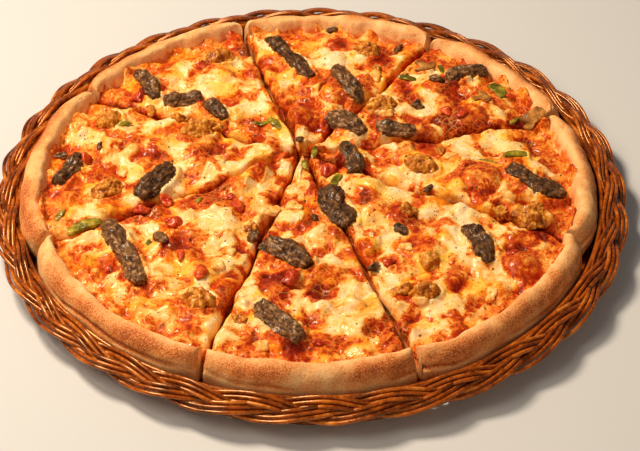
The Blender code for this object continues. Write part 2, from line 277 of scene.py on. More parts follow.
# Small dark specks, such as ground pepper and dried herbs: 1 in a speck, 0 elsewhere
specking = {"least": 0.12, "more": 0.20}        # radius of a speck, as a share of its cell


def makeSpecks():
    tree, given, result = newGroup("specks", {"Scale": 380.0, "Amount": 0.1}, ("Speck", "Draw"))
    cells = put(tree, "ShaderNodeTexVoronoi", {key: given.outputs[key] for key in ("Vector", "Scale")})
    draws = put(tree, "ShaderNodeSeparateColor", {"Color": cells.outputs["Color"]})
    chosen = calc(tree, "LESS_THAN", draws.outputs[0], given.outputs["Amount"])
    size = calc(tree, "MULTIPLY_ADD", draws.outputs[1], specking["more"], specking["least"])
    inside = calc(tree, "LESS_THAN", cells.outputs["Distance"], size)
    tree.links.new(times(tree, chosen, inside), result.inputs["Speck"])
    tree.links.new(draws.outputs[2], result.inputs["Draw"])
    return tree


mottleGroup = makeMottle()
speckGroup = makeSpecks()


def mottle(tree, scale, push):
    place = put(tree, "ShaderNodeTexCoord").outputs["Object"]
    values = {"Vector": place, "Scale": scale, "Push": push}
    return place, put(tree, "ShaderNodeGroup", values, node_tree=mottleGroup).outputs


def speckle(tree, place, scale, amount):
    values = {"Vector": place, "Scale": scale, "Amount": amount}
    return put(tree, "ShaderNodeGroup", values, node_tree=speckGroup).outputs


def bumps(tree, *layers):       # each layer is a height from 0 to 1 and how tall it is
    normal = None
    for height, distance in layers:
        values = {"Height": height, "Distance": distance, "Strength": 1.0}
        if normal is not None:
            values["Normal"] = normal
        normal = put(tree, "ShaderNodeBump", values).outputs["Normal"]
    return normal


def finishSurface(tree, shader, colour, rough, normal, fixed):
    fill(tree, shader, {"Base Color": colour, "Roughness": rough, "Normal": normal, **fixed})


# Mesh helpers
def addObject(name, mesh, material):
    mesh.materials.clear()
    mesh.materials.append(material)
    mesh.shade_smooth()
    return newObject(name, mesh)


def appliedMesh(obj):           # its mesh with its modifiers applied
    return bpy.data.meshes.new_from_object(obj.evaluated_get(bpy.context.evaluated_depsgraph_get()))


def dress(obj, nodes=()):
    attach(obj, "root")
    if nodes:
        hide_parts(*nodes)


def storeValues(mesh, values):
    for name, numbers in values.items():
        attribute = mesh.attributes.new(name, "FLOAT", "POINT")
        attribute.data.foreach_set("value", np.asarray(numbers, np.float32).ravel())


# One closed mesh through equal closed rows of points, with flat ends
def loftMesh(name, rows, values):
    count, around = rows.shape[:2]
    index = np.arange(count * around).reshape(count, around)
    after = np.roll(index, -1, axis=1)
    quads = np.stack([index[:-1], after[:-1], after[1:], index[1:]], axis=-1).reshape(-1, 4)
    points = rows.reshape(-1, 3)
    faces = quads.tolist() + [index[0][::-1].tolist(), index[-1].tolist()]
    corners = points[quads] - points.mean(axis=0)
    volume = 0.0
    for second, third in ((1, 2), (2, 3)):
        volume += (corners[:, 0] * np.cross(corners[:, second], corners[:, third])).sum()
    if volume < 0:
        faces = [face[::-1] for face in faces]
    mesh = bpy.data.meshes.new(name)
    mesh.from_pydata(points.tolist(), [], faces)
    storeValues(mesh, values)
    return mesh


# The piece that stands for a slice's solid
def addSlice(look, kind, index, rows, values, material):
    node = f"{kind}_{index + 1}"
    piece = addObject(f"{look}_{node}", loftMesh(node, rows, values), material)
    dress(piece, (node,))
    return piece


# Unit normals of a grid of points
def gridNormals(rows):
    along = np.gradient(rows, axis=0)
    across = np.gradient(rows, axis=1)
    normals = np.cross(along, across)
    return normals / np.maximum(np.linalg.norm(normals, axis=-1, keepdims=True), 1e-12)


# A smooth curve through a few points, with the given number of steps between each pair
def smoothPath(points, steps):
    points = np.asarray(points, float)
    padded = np.concatenate([points[:1] * 2 - points[1:2], points, points[-1:] * 2 - points[-2:-1]])
    path = []
    for before, here, there, beyond in zip(padded, padded[1:], padded[2:], padded[3:]):
        for share in np.arange(steps) / steps:
            path.append(0.5 * (2 * here + (there - before) * share
                               + (2 * before - 5 * here + 4 * there - beyond) * share ** 2
                               + (3 * here - before - 3 * there + beyond) * share ** 3))
    return np.array(path + [points[-1]])


# The pizza's layout, in metres and degrees; noise is given in layers of amount, size and seed
pizza = {
    "radius": 0.1635,
    "centre": (-0.001, 0.0),
    "hub": (-0.005, 0.027),                 # where the cuts meet
    "cutEnds": (-160.3, -110.8, -67.9, -17.9, 21.6, 60.3, 105.7, 148.6),
    "tip": 0.0058,
    "halfCut": 0.0011,
    "leastHalfCut": 0.00012,
    "cutWave": 0.0005,
    "hubWidth": 0.55,                       # width of a cut by the hub, as a share
    "narrowsWithin": 0.03,
    "spread": 0.0007,
    "foot": 0.0165,                         # width of the crust
    "cheeseInset": 0.0030,
    "sauceReach": 0.0012,
    "doughBottom": 0.0038,
    "doughTop": 0.013,
    "sauceTop": 0.0148,
    "cheeseTop": 0.0212,
    "crustTop": 0.0278,
    "gap": 0.0003,
    "sideStretch": 0.0013,                  # the outline is not quite round
    "frontFlattening": 0.0015,
    "cornerDraw": 0.0035,                   # how far it draws in at the cuts
    "cornerLength": 0.011,
    "stray": ((0.0016, 0.026, 12), (0.00072, 0.009, 13)),   # how far the cuts wander in the topping
    "strayStart": 0.02,
    "crustZone": (-0.012, 0.004),           # from the topping to the crust, about the crust's foot
    "crustStray": 0.35,                     # share of the wandering that is left in the crust
}
centre = np.array(pizza["centre"])
hub = np.array(pizza["hub"])
sliceCount = len(pizza["cutEnds"])
footRadius = pizza["radius"] - pizza["foot"]
cheeseRadius = footRadius - pizza["cheeseInset"]
sauceRadius = footRadius + pizza["sauceReach"]
cutReach = np.linspace(0.0, 0.2, 401)       # distances along a cut
cutNoise = [partNoise(cutReach, np.full_like(cutReach, cut), 0.02, 3) for cut in range(sliceCount)]


# How far a cut strays sideways from its straight line, which is most in the topping
def cutStray(cut):
    line = onPlan(cutReach, np.full_like(cutReach, cut * 0.37))
    return layeredNoise(line, pizza["stray"]) * np.clip(cutReach / pizza["strayStart"], 0, 1)


strays = [cutStray(cut) for cut in range(sliceCount)]


def circleDistance(angle, radius):
    offset = hub - centre
    along = offset[0] * np.cos(angle) + offset[1] * np.sin(angle)
    return -along + np.sqrt(along ** 2 - offset @ offset + radius ** 2)


# Distance to the uneven ring that the baked outline follows, drawn in by the cuts
def ringDistance(angle, radius, drawn=0.0):
    reach = circleDistance(angle, radius)
    outX = hub[0] + reach * np.cos(angle) - centre[0]
    outY = hub[1] + reach * np.sin(angle) - centre[1]
    around = np.arctan2(outY, outX)
    change = pizza["sideStretch"] * np.cos(2 * around) + pizza["frontFlattening"] * np.sin(around)
    for end in pizza["cutEnds"]:
        away = (around - math.radians(end) + math.pi) % (2 * math.pi) - math.pi
        pull = np.exp(-(away * pizza["radius"] / pizza["cornerLength"]) ** 2)
        change = change - drawn * pizza["cornerDraw"] * pull
    return circleDistance(angle, radius + change)


def cutDirection(index):
    around = math.radians(pizza["cutEnds"][index % sliceCount])
    end = centre + pizza["radius"] * np.array([math.cos(around), math.sin(around)])
    return math.atan2(end[1] - hub[1], end[0] - hub[0]) + 2 * math.pi * (index // sliceCount)


def halfCut(distance, index):
    least = pizza["hubWidth"]
    narrowing = least + (1 - least) * np.minimum(1.0, distance / pizza["narrowsWithin"])
    wave = np.interp(distance, cutReach, cutNoise[index % sliceCount])
    return narrowing * (pizza["halfCut"] + pizza["cutWave"] * wave)


# Plan places in a slice: the cut may be closed a little by topping that has run over it
def slicePlan(index, share, distance, closing, outwards):
    wander = 1 - (1 - pizza["crustStray"]) * outwards
    sides = []
    for side, turn in ((index, 1), (index + 1, -1)):
        opening = np.maximum(halfCut(distance, side) - closing, pizza["leastHalfCut"])
        stray = wander * np.interp(distance, cutReach, strays[side % sliceCount])
        sides.append(cutDirection(side) + (turn * opening + stray) / distance)
    angle = sides[0] + (sides[1] - sides[0]) * share
    middle = (cutDirection(index) + cutDirection(index + 1)) / 2
    x = hub[0] + distance * np.cos(angle) + pizza["spread"] * math.cos(middle)
    y = hub[1] + distance * np.sin(angle) + pizza["spread"] * math.sin(middle)
    return x, y


# From 0 in the topping to 1 in the crust
def towardsCrust(angles, reach):
    return rise(*pizza["crustZone"], reach - ringDistance(angles, footRadius))


# Rows of distances from the hub and heights, laid out on the plan of a slice
def sliceGrid(index, shares, rows, notch=0.0):
    angles = sliceAngles(index, shares)
    grid = []
    for reach, height in rows:
        outwards = towardsCrust(angles, reach)
        x, y = slicePlan(index, shares, reach, notch * outwards, outwards)
        grid.append(np.stack([x, y, np.broadcast_to(height, x.shape)], axis=-1))
    return np.array(grid).transpose(1, 0, 2)


# Shares across a slice, closer together by the cuts
def sliceShares(count, ends):
    inner = np.linspace(ends[-1], 1 - ends[-1], count)
    return np.concatenate([ends[:-1], inner, 1 - np.array(ends[:-1])[::-1]])


def sliceAngles(index, shares):
    return cutDirection(index) + (cutDirection(index + 1) - cutDirection(index)) * shares


# Dough: each slice is one loft from cut to cut
dough = {
    "columns": 104,
    "cutEnds": (0.0, 0.004, 0.010, 0.018),
    "stepsBetween": 6,
    "innerRows": 34,
    "footInset": 0.003,
    "wave": (0.0014, 0.022, 1),             # amount, size and seed
    "swell": (0.0009, 0.035, 2),
    "slopeWaves": ((0.0013, 0.013, 17), (0.000455, 0.005, 18)),     # how its inner slope winds in and out
    "slopeZone": (-0.001, 0.001, 0.004, 0.009),
    "dents": ((0.00045, 0.0075, 3),),
    "pores": ((0.00006, 0.0016, 4), (0.000036, 0.0008, 5)),
    "cracks": 0.0013,
    "crackReach": 0.026,                    # cracks lie within this of a cut
    "crackWidth": 0.045,
    "crease": 0.0014,                       # the fold line along the outer side
    "creasePlace": 0.66,                    # as a share of the way over the crust
    "creaseWidth": 0.022,
    "cutRounding": 0.0050,
    "cutDrop": 0.0025,
    "notch": -0.0005,                       # the cut stands a little open through the crust
    "crumbInset": 0.0008,                   # browned edge round the pale crumb of a cut face
}
doughFinish = {
    "bake": (
        (0.00, (247, 196, 132)), (0.25, (238, 160, 92)), (0.50, (216, 120, 50)), (0.75, (182, 84, 26)),
        (1.00, (138, 56, 14)),
    ),
    "sandScale": 1200.0,
    "dust": paint(250, 200, 138),
    "pore": paint(158, 80, 26),
    # colour of the oily sauce stain, also laid on the crust's lower side as painted shade
    "oilAndShade": paint(220, 108, 32),
    "roughness": (0.74, 0.32),              # dry and oily
    "fixed": {
        "Subsurface Weight": 0.05, "Subsurface Radius": (0.004, 0.002, 0.001), "Subsurface Scale": 0.5,
        "Specular IOR Level": 0.3,
    },
}


def crustProfile():
    top, low = pizza["crustTop"], pizza["doughBottom"]
    width = pizza["foot"]
    points = (                  # beyond its foot, height, how uneven, how far it draws in at the cuts
        (-0.0030, pizza["doughTop"], 0.0, 0.0),
        (0.0000, pizza["doughTop"], 0.0, 0.0),
        (0.0012, pizza["doughTop"] + 0.0020, 0.0, 0.0),
        (0.0028, pizza["doughTop"] + 0.0082, 0.4, 0.0),
        (0.0050, top - 0.0010, 1.0, 0.2),
        (0.0088, top, 1.0, 0.6),
        (width - 0.0035, top - 0.0028, 1.0, 1.0),
        (width - 0.0007, top - 0.0085, 1.0, 1.0),
        (width, low + 0.0095, 0.6, 1.0),
        (width - 0.0018, low + 0.0035, 0.3, 1.0),
        (width - 0.0075, low, 0.0, 1.0),
    )
    return smoothPath(points, dough["stepsBetween"])


def slopeWaver(x, y):
    return layeredNoise(onPlan(x, y), dough["slopeWaves"])


# Height of the crust's inner slope at a distance beyond its foot
def slopeHeight(beyond):
    crust = crustProfile()
    top = int(np.argmax(crust[:, 1])) + 1
    return np.interp(beyond, crust[:top, 0], crust[:top, 1])


def doughMaterial():
    material, tree, shader = newMaterial("baked dough")
    place, tones = mottle(tree, 1.0, 0.003)
    level = plus(tree, stored(tree, "bake"), swing(tree, tones["Broad"], 0.22))
    level = plus(tree, level, swing(tree, tones["Middle"], 0.16))
    colour = colourRamp(tree, level, doughFinish["bake"])
    sand = grain(tree, place, doughFinish["sandScale"], 2.0, Roughness=0.6)
    colour = overlay(tree, colour, spread(tree, sand, 0.50, 0.66), 0.42, doughFinish["dust"])
    pores = times(tree, spread(tree, sand, 0.48, 0.36), spread(tree, level, 0.05, 0.60, 0.25, 0.95))
    colour = blend(tree, pores, colour, doughFinish["pore"])
    # The oil colour is real sauce stain on the inner slope and painted shade on the lower side.
    oilAndShadeMask = times(tree, stored(tree, "stainAndShade"), spread(tree, tones["Middle"], 0.10, 0.70))
    colour = blend(tree, oilAndShadeMask, colour, doughFinish["oilAndShade"])
    rough = spread(tree, oilAndShadeMask, 0.0, 1.0, *doughFinish["roughness"])
    normal = bumps(tree, (sand, 0.00022), (tones["Fine"], 0.00012))
    finishSurface(tree, shader, colour, rough, normal, doughFinish["fixed"])
    return material


# Rows over a slice of dough: from its tip out under the topping, over the crust and back below
def doughRows(angles, edge, crust):
    foot = ringDistance(angles, footRadius - dough["footInset"])
    tip = np.full_like(angles, pizza["tip"])
    rows = [(tip, pizza["doughBottom"])]
    for share in np.linspace(0, 1, dough["innerRows"], endpoint=False):
        rows.append((tip + (foot - tip) * share, pizza["doughTop"]))
    rounding = 1 - np.sqrt(1 - (1 - np.clip(edge / dough["cutRounding"], 0, 1)) ** 2)
    waveHeight, waveSize, waveSeed = dough["wave"]
    swellWidth, swellSize, swellSeed = dough["swell"]
    start, full, fade, end = dough["slopeZone"]
    for beyond, level, relief, drawn in crust:
        radius = footRadius + beyond
        x, y = np.cos(angles) * radius, np.sin(angles) * radius
        wave = relief * partNoise(x, y, waveSize, waveSeed) * waveHeight
        swell = relief * partNoise(x, y, swellSize, swellSeed) * swellWidth
        swell += slopeWaver(x, y) * rise(start, full, beyond) * (1 - rise(fade, end, beyond))
        drop = rounding * relief * dough["cutDrop"]
        rows.append((ringDistance(angles, radius + swell - drop, drawn), level + wave - drop))
    rows.append(((tip + foot) / 2, pizza["doughBottom"]))
    return rows


# How far the crust's surface is pushed out, and how deep its cracks and its fold line are
def crustRelief(surface, crust, path, edge):
    flat = surface.reshape(-1, 3)
    relief = np.tile(crust[:, 2], len(surface))
    along = np.tile(path, len(surface))
    beside = np.repeat(edge, len(crust))
    seam = np.abs(softNoise(flat, 0.010, 6))
    near = 1 - rise(0.3 * dough["crackReach"], dough["crackReach"], beside)
    only = rise(0.0, 0.3, softNoise(flat, 0.014, 7)) * rise(0.10, 0.25, along) * near
    cracks = -dough["cracks"] * np.clip(1 - seam / dough["crackWidth"], 0, 1) * only
    line = dough["creasePlace"] + 0.035 * softNoise(flat, 0.045, 14)
    crease = -dough["crease"] * np.exp(-((along - line) / dough["creaseWidth"]) ** 2)
    crease *= rise(-0.4, 0.3, softNoise(flat, 0.05, 15))
    push = relief * (layeredNoise(flat, dough["dents"]) + cracks + crease)
    push += np.maximum(relief, 0.25) * layeredNoise(flat, dough["pores"])
    return push.reshape(surface.shape[:2]), (cracks + crease).reshape(surface.shape[:2])


# How brown the dough is, and how stained: real sauce stain on the inner slope, and orange patches of painted
# shade on the lower side; along is the share of the way over the crust
def doughTones(grid, along, hollows):
    spot = grid.reshape(-1, 3)
    along = along.ravel()
    browned = np.exp(-((along - 0.52) / 0.10) ** 2) * rise(-0.6, 0.4, softNoise(spot, 0.040, 16))
    bake = 0.16 + 0.45 * browned + layeredNoise(spot, ((0.14, 0.020, 8), (0.08, 0.006, 9)))
    # The darker hollows are painted shade: the crust's cracks and fold line are coloured browner by their
    # depth.
    bake -= 0.15 * rise(0.60, 0.74, along) + 260 * hollows.ravel()     # paler low down, darker in hollows
    # Painted light: the crust's inner slope is made paler, as if lit, where it faces away from the lamps.
    bake -= 0.16 * rise(0.08, 0.16, along) * (1 - rise(0.28, 0.40, along))
    ragged = layeredNoise(spot, ((0.045, 0.012, 10), (0.04, 0.004, 11)))
    stainAndShade = 1 - rise(0.17, 0.29, along + ragged)
    # Orange patches on the lower side are painted shade: the warm colour of the shaded side, in the oil
    # stain's colour.
    stainAndShade += 0.28 * rise(0.62, 0.78, along) * rise(-0.4, 0.5, softNoise(spot, 0.045, 19))
    return bake.reshape(grid.shape[:2]), stainAndShade.reshape(grid.shape[:2])


# A pale crumb face at each cut, just inside the browned edge
def addCrumbFaces(grid, bake, stainAndShade, body, fresh):
    rows, bakes, stains = list(grid), list(bake), list(stainAndShade)
    for end, place in ((0, 0), (-1, len(rows) + 1)):
        inset = grid[end].copy()
        inwards = inset[body].mean(axis=0) - inset[body]
        inset[body] += inwards / np.linalg.norm(inwards, axis=1, keepdims=True) * dough["crumbInset"]
        rows.insert(place, inset)
        bakes.insert(place, 0.7 - 0.8 * fresh)
        stains.insert(place, 0.9 * (1 - fresh))
    return np.array(rows), np.array(bakes), np.array(stains)


def makeDough():
    material = doughMaterial()
    crust = crustProfile()
    shares = sliceShares(dough["columns"], dough["cutEnds"])
    lengths = np.concatenate([[0], np.cumsum(np.linalg.norm(np.diff(crust[:, :2], axis=0), axis=1))])
    path = lengths / lengths[-1]
    body = slice(dough["innerRows"] + 1, dough["innerRows"] + 1 + len(crust))
    for index in range(sliceCount):
        angles = sliceAngles(index, shares)
        edge = np.minimum(shares, 1 - shares) * (angles[-1] - angles[0]) * pizza["radius"]
        grid = sliceGrid(index, shares, doughRows(angles, edge, crust), dough["notch"])
        surface = grid[:, body]
        outward = gridNormals(surface)
        if outward[len(shares) // 2, len(crust) // 2][2] < 0:
            outward = -outward
        along, hollows, fresh = np.zeros(grid.shape[:2]), np.zeros(grid.shape[:2]), np.zeros(grid.shape[1])
        push, hollows[:, body] = crustRelief(surface, crust, path, edge)
        grid[:, body] = surface + outward * push[..., None]
        along[:, body] = path
        fresh[body] = rise(0.02, 0.14, path)
        bake, stainAndShade = doughTones(grid, along, hollows)
        grid, bake, stainAndShade = addCrumbFaces(grid, bake, stainAndShade, body, fresh)
        values = {"bake": bake, "stainAndShade": stainAndShade}
        addSlice("baked", "dough", index, grid, values, material)
    print("dough done")


makeDough()

# Where the toppings lie: places under each, with the height of its underside
toppingKinds = ("beef", "chicken", "pepper", "mushroom")
toppingNames = [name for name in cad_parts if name.split("_")[0] in toppingKinds]
bedding = {
    "sampleStep": 0.0012,
    "sink": 0.00035,
    "lip": 0.0020,              # height, place and width of the cheese's lip round a piece
    "lipPlace": 0.0017,
    "lipWidth": 0.0013,
    "under": 0.0009,
    "reach": 0.0026,
    "flatWithin": (0.0010, 0.0045),
}


def sampleUndersides():
    places = []
    for name in sorted(toppingNames):
        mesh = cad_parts[name].data
        tree = BVHTree.FromPolygons([v.co for v in mesh.vertices], [tuple(p.vertices) for p in mesh.polygons])
        low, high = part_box(name)
        for x in np.arange(low.x, high.x, bedding["sampleStep"]):
            for y in np.arange(low.y, high.y, bedding["sampleStep"]):
                hit = tree.ray_cast(Vector((x, y, 0)), Vector((0, 0, 1)))[0]
                if hit is not None:
                    places.append(hit)
    tree = kdtree.KDTree(len(places))
    for number, place in enumerate(places):
        tree.insert((place.x, place.y, 0), number)
    tree.balance()
    return tree, np.array([place.z for place in places])


undersideTree, undersideHeights = sampleUndersides()


def nearestTopping(x, y):
    found = [undersideTree.find((a, b, 0))[1:] for a, b in zip(x, y)]
    return undersideHeights[[number for number, away in found]], np.array([away for number, away in found])


# Cheese: domes and balls are x, y, radius and height in mm; patches are x, y and size in mm
cheese = {
    "columns": 112,
    "cutEnds": (0.0, 0.0012, 0.0036, 0.0075, 0.013, 0.020),
    "rowStep": 0.00085,
    "swell": 0.0016,
    "ripple": 0.0009,
    "domes": (
        (98, 1, 16, 6.6), (94, 60, 15, 5.0), (14, 81, 14, 5.6), (-19, -89, 16, 3.6), (116, -70, 14, 3.4),
        (-7, 60, 13, 5.2), (75, 90, 12, 3.4), (-62, -20, 14, 3.6), (-55, 95, 14, 3.4),
        (52, -30, 15, 3.4), (-30, 10, 12, 3.6), (-100, 30, 14, 3.0),
    ),
    "balls": (
        (98, 1, 12.5, 9.0), (94, 60, 12.0, 7.2), (14, 81, 10.0, 7.2), (-7, 60, 9.5, 6.6),
        (116, -70, 11.5, 6.0), (75, 90, 9.0, 4.6), (-62, -20, 9.0, 3.6), (-19, -89, 9.5, 4.2),
        (52, -30, 9.0, 3.6),
    ),
    "redPatches": (
        (-42, -19, 11), (-49, -6, 7), (-72, -57, 16), (11, 17, 11), (-5, -132, 14), (-22, -84, 12),
        (80, 60, 15), (113, -63, 16), (128, -44, 12), (51, -120, 14), (-34, -132, 11), (-68, 110, 11),
        (-103, 83, 9), (-41, 124, 9), (45, 117, 11), (143, -5, 10), (107, -18, 8), (3, -89, 9),
        (41, -66, 10), (-90, -27, 10), (-117, -45, 8), (-56, 31, 11), (-36, 59, 9), (66, 104, 9),
        (79, -85, 11), (-137, -6, 9), (19, -61, 9), (31, -14, 7),
    ),
    "creamPatches": (
        (-59, 98, 18), (-67, -36, 16), (54, -5, 18), (-14, -27, 13), (-125, -53, 14), (-88, -67, 13),
        (90, -27, 18), (47, -44, 11), (24, 107, 13), (-75, 8, 13), (-112, 30, 15), (-40, 74, 11),
        (53, 69, 11), (111, 41, 18), (62, -105, 13), (11, -109, 11), (-56, -93, 13), (-137, 49, 13),
        (-7, 134, 11), (75, -52, 11), (137, 65, 9), (-5, -97, 11), (24, -120, 9), (33, -89, 11),
        (-94, -9, 15), (-104, -69, 10), (-50, -75, 9), (-64, -34, 12), (-129, 8, 10), (-111, -44, 12),
        (-50, -31, 11), (-23, -26, 9), (-23, -122, 10),
    ),
    "lumps": ((0.0185, 0.0050, 3), (0.0100, 0.0031, 5), (0.0052, 0.0011, 9)),    # size, height, seed
    "warp": (                               # sideways, then lengthways; layers of amount, size and seed
        ((0.0026, 0.014, 21), (0.0006, 0.005, 22)),
        ((0.0026, 0.014, 23), (0.0006, 0.005, 24)),
    ),
    "swirl": (((0.0022, 0.007, 33),), ((0.0022, 0.007, 34),)),
    "flow": ((1.0, 0.015, 25), (0.5, 0.007, 26), (0.22, 0.0034, 27)),
    "golden": ((1.0, 0.016, 35), (0.4, 0.005, 36)),
    "grit": ((0.00009, 0.0022, 30), (0.000045, 0.0011, 31)),
    "bubbles": ((0.0009, 0.0050, 45), (0.0005, 0.0022, 46)),
    "ragged": ((0.0013, 0.014, 41), (0.0005, 0.006, 42)),
    "settle": 0.0029,                       # how far the surface lies below the tops of the lumps
    "foldSize": 0.0080,
    "foldHeight": 0.0006,
    "sheetHeight": 0.0008,
    "sheetLip": 0.0004,
    "pocketDepth": 0.0014,
    "fall": (0.0014, 0.018),                # height and width of the fall at its outer edge
    "cutRounding": (0.0022, 0.0062),        # least and most
    "edgeRounding": 0.0028,
    "tipRounding": 0.0020,
    "climb": 0.0046,                        # how far the topping runs up beyond the foot of the crust
    "film": 0.0010,                         # how thick it is there
    "overrun": 0.0009,
}
cheeseFinish = {
    "cream": (
        (0.00, (112, 18, 4)), (0.16, (154, 35, 7)), (0.33, (190, 62, 12)), (0.46, (224, 112, 30)),
        (0.58, (240, 160, 70)), (0.74, (247, 193, 112)), (1.00, (249, 217, 166)),
    ),
    "golden": (
        (0.00, (118, 22, 4)), (0.18, (172, 48, 8)), (0.36, (206, 80, 12)), (0.54, (234, 130, 22)),
        (0.74, (246, 168, 48)), (1.00, (250, 198, 92)),
    ),
    "speck": ((0.0, (42, 26, 10)), (0.6, (60, 56, 16)), (1.0, (110, 38, 10))),
    "lace": paint(250, 172, 70),
    "toast": paint(164, 66, 12),
    "pulp": paint(186, 46, 8),
    "fixed": {
        "Subsurface Weight": 0.10, "Subsurface Radius": (0.005, 0.0022, 0.0008), "Subsurface Scale": 0.5,
        "Specular IOR Level": 0.2, "Specular Tint": paint(255, 214, 160), "Coat Weight": 0.24,
        "Coat Roughness": 0.1,
    },
}


def awayFrom(x, y, spot, reach):    # squared distance from a spot given in mm, in reaches
    return ((x - spot[0] * 0.001) ** 2 + (y - spot[1] * 0.001) ** 2) / reach ** 2


def patchField(x, y, patches):
    field = sum(np.exp(-awayFrom(x, y, patch, patch[2] * 0.00058)) for patch in patches)
    return np.minimum(field, 1)


def pushedAbout(x, y, layers):
    spots = onPlan(x, y)
    return x + layeredNoise(spots, layers[0]), y + layeredNoise(spots, layers[1])


# Height of the plain solid, which the toppings lie on
def restingHeight(x, y):
    height = pizza["cheeseTop"] + cheese["swell"] * partNoise(x, y, 0.030, 4)
    height += cheese["ripple"] * partNoise(x, y, 0.016, 5)
    dome, ball = np.zeros_like(x), np.zeros_like(x)
    for spot in cheese["domes"]:
        dome += spot[3] * 0.001 * np.exp(-1.4 * awayFrom(x, y, spot, spot[2] * 0.001))
    for spot in cheese["balls"]:
        rounded = np.clip(1 - awayFrom(x, y, spot, spot[2] * 0.001), 0, 1) ** 0.5
        ball = np.maximum(ball, spot[3] * 0.001 * rounded)
    fallHeight, fallWidth = cheese["fall"]
    edge = np.clip((np.hypot(x - centre[0], y - centre[1]) - cheeseRadius) / fallWidth + 1, 0, 1)
    return height - fallHeight * edge ** 2, dome, ball


# The melted surface with all that shows on it, and the values that its colours follow
def meltedSurface(x, y):
    base, dome, ball = restingHeight(x, y)
    onBall = rise(0.0003, 0.0030, ball)
    flat = onPlan(x, y)
    warpX, warpY = pushedAbout(x, y, cheese["warp"])
    swirled = onPlan(*pushedAbout(warpX, warpY, cheese["swirl"]))
    lumps = [(tall, *lumpField(warpX, warpY, size, seed)) for size, tall, seed in cheese["lumps"]]
    (largeHeight, large, largeDraws), (middleHeight, middle, draws), (smallHeight, small, smallDraws) = lumps
    cream, red = [patchField(warpX, warpY, cheese[key]) for key in ("creamPatches", "redPatches")]
    flow = layeredNoise(swirled, cheese["flow"])
    cover = flow + 0.75 * cream - red - 14 * dome
    sheet = rise(-0.02, 0.22, cover)
    lip = np.exp(-((cover - 0.22) / 0.08) ** 2)
    pocket = rise(0.45, 0.90, red - 0.55 * flow) * (1 - sheet)
    folds = np.clip(1 - np.abs(softNoise(swirled, cheese["foldSize"], 28)) * 2.0, 0, 1) ** 1.5
    relief = largeHeight * large + middleHeight * middle * (1 - 0.2 * sheet)
    relief += smallHeight * small * (1 - 0.6 * sheet) + cheese["foldHeight"] * folds * (1 - 0.5 * sheet)
    relief += cheese["sheetHeight"] * sheet + cheese["sheetLip"] * lip - cheese["pocketDepth"] * pocket
    relief += layeredNoise(flat, cheese["grit"]) * (1 + 0.8 * pocket - 0.5 * sheet) - cheese["settle"]
    under, away = nearestTopping(x, y)
    relief *= (0.15 + 0.85 * rise(*bedding["flatWithin"], away)) * (1 - 0.75 * onBall)
    height = base + np.maximum(dome, ball) + relief
    hold = np.exp(-(np.maximum(away - bedding["under"], 0) / bedding["reach"]) ** 2)
    lipRise = bedding["lip"] * np.exp(-((away - bedding["lipPlace"]) / bedding["lipWidth"]) ** 2)
    lipRise *= 0.35 + 0.65 * rise(-0.5, 0.5, softNoise(flat, 0.007, 38))
    height = height * (1 - hold) + (under + bedding["sink"] + lipRise) * hold
    # crease is 1 in the creases between lumps; the tone is lowered there below, as painted shade.
    crease = (1 - np.clip(1.6 * large, 0, 1)) * (1 - np.clip(2.0 * middle, 0, 1))
    tone = 0.49 + 0.30 * flow + 0.22 * sheet + 0.15 * cream - 0.16 * pocket + 0.06 * folds
    tone += 0.10 * (draws - 0.5) + 0.12 * (largeDraws - 0.5) + 0.06 * (smallDraws - 0.5)
    tone -= 0.08 * np.clip(dome / 0.004, 0, 1) + 0.20 * crease + 0.29 * red * (1 - sheet)
    tone = tone * (1 - 0.65 * onBall) + 0.65 * onBall * (0.34 + 0.16 * softNoise(swirled, 0.006, 37))
    # Each ball is darker round its lower sides and foot: painted shade.
    tone -= 0.20 * onBall * (1 - rise(0.0020, 0.0052, ball))
    toast = 0.7 * rise(0.60, 1.0, middle) * rise(0.6, 0.95, draws)
    toast += 0.4 * rise(0.7, 1.0, large) * rise(0.6, 0.9, largeDraws)
    toast += 0.6 * rise(0.0030, 0.0065, ball) * rise(-0.1, 0.4, softNoise(flat, 0.006, 32))
    gold = rise(-0.15, 0.6, layeredNoise(swirled, cheese["golden"]) - 0.35 * cream)
    return height, {"tone": tone, "toast": toast, "gold": gold}


def cheeseMaterial():
    material, tree, shader = newMaterial("melted cheese")
    place, tones = mottle(tree, 1.0, 0.005)
    marble = grain(tree, tones["Pushed"], 230.0, 4.0, Roughness=0.55, Distortion=1.4)
    level = plus(tree, stored(tree, "tone"), swing(tree, spread(tree, marble, 0.32, 0.68), 0.30))
    level = plus(tree, level, swing(tree, tones["Fine"], 0.12))
    cream, golden = [colourRamp(tree, level, cheeseFinish[key]) for key in ("cream", "golden")]
    colour = blend(tree, stored(tree, "gold"), cream, golden)
    lace = put(tree, "ShaderNodeTexVoronoi", {"Vector": tones["Pushed"], "Scale": 260.0},
               feature="DISTANCE_TO_EDGE")
    thread = spread(tree, lace.outputs["Distance"], 0.12, 0.01)
    thread = times(tree, thread, spread(tree, tones["Broad"], 0.35, 0.75))
    colour = overlay(tree, colour, thread, 0.35, cheeseFinish["lace"])
    browned = spread(tree, tones["Middle"], 0.35, 0.75)
    browned = calc(tree, "MULTIPLY", stored(tree, "toast"), browned, clamp=True)
    colour = overlay(tree, colour, browned, 0.7, cheeseFinish["toast"])
    pulp = speckle(tree, tones["Pushed"], 250.0, 0.10)
    colour = overlay(tree, colour, pulp["Speck"], 0.55, cheeseFinish["pulp"])
    specks = speckle(tree, place, 360.0, 0.08)
    dark = colourRamp(tree, specks["Draw"], cheeseFinish["speck"])
    colour = overlay(tree, colour, specks["Speck"], 0.85, dark)
    rough = spread(tree, tones["Middle"], 0.1, 0.9, 0.36, 0.56, soft=False)
    normal = bumps(tree, (tones["Fine"], 0.00012), (tones["Middle"], 0.00028))
    finishSurface(tree, shader, colour, rough, normal, cheeseFinish["fixed"])
    return material


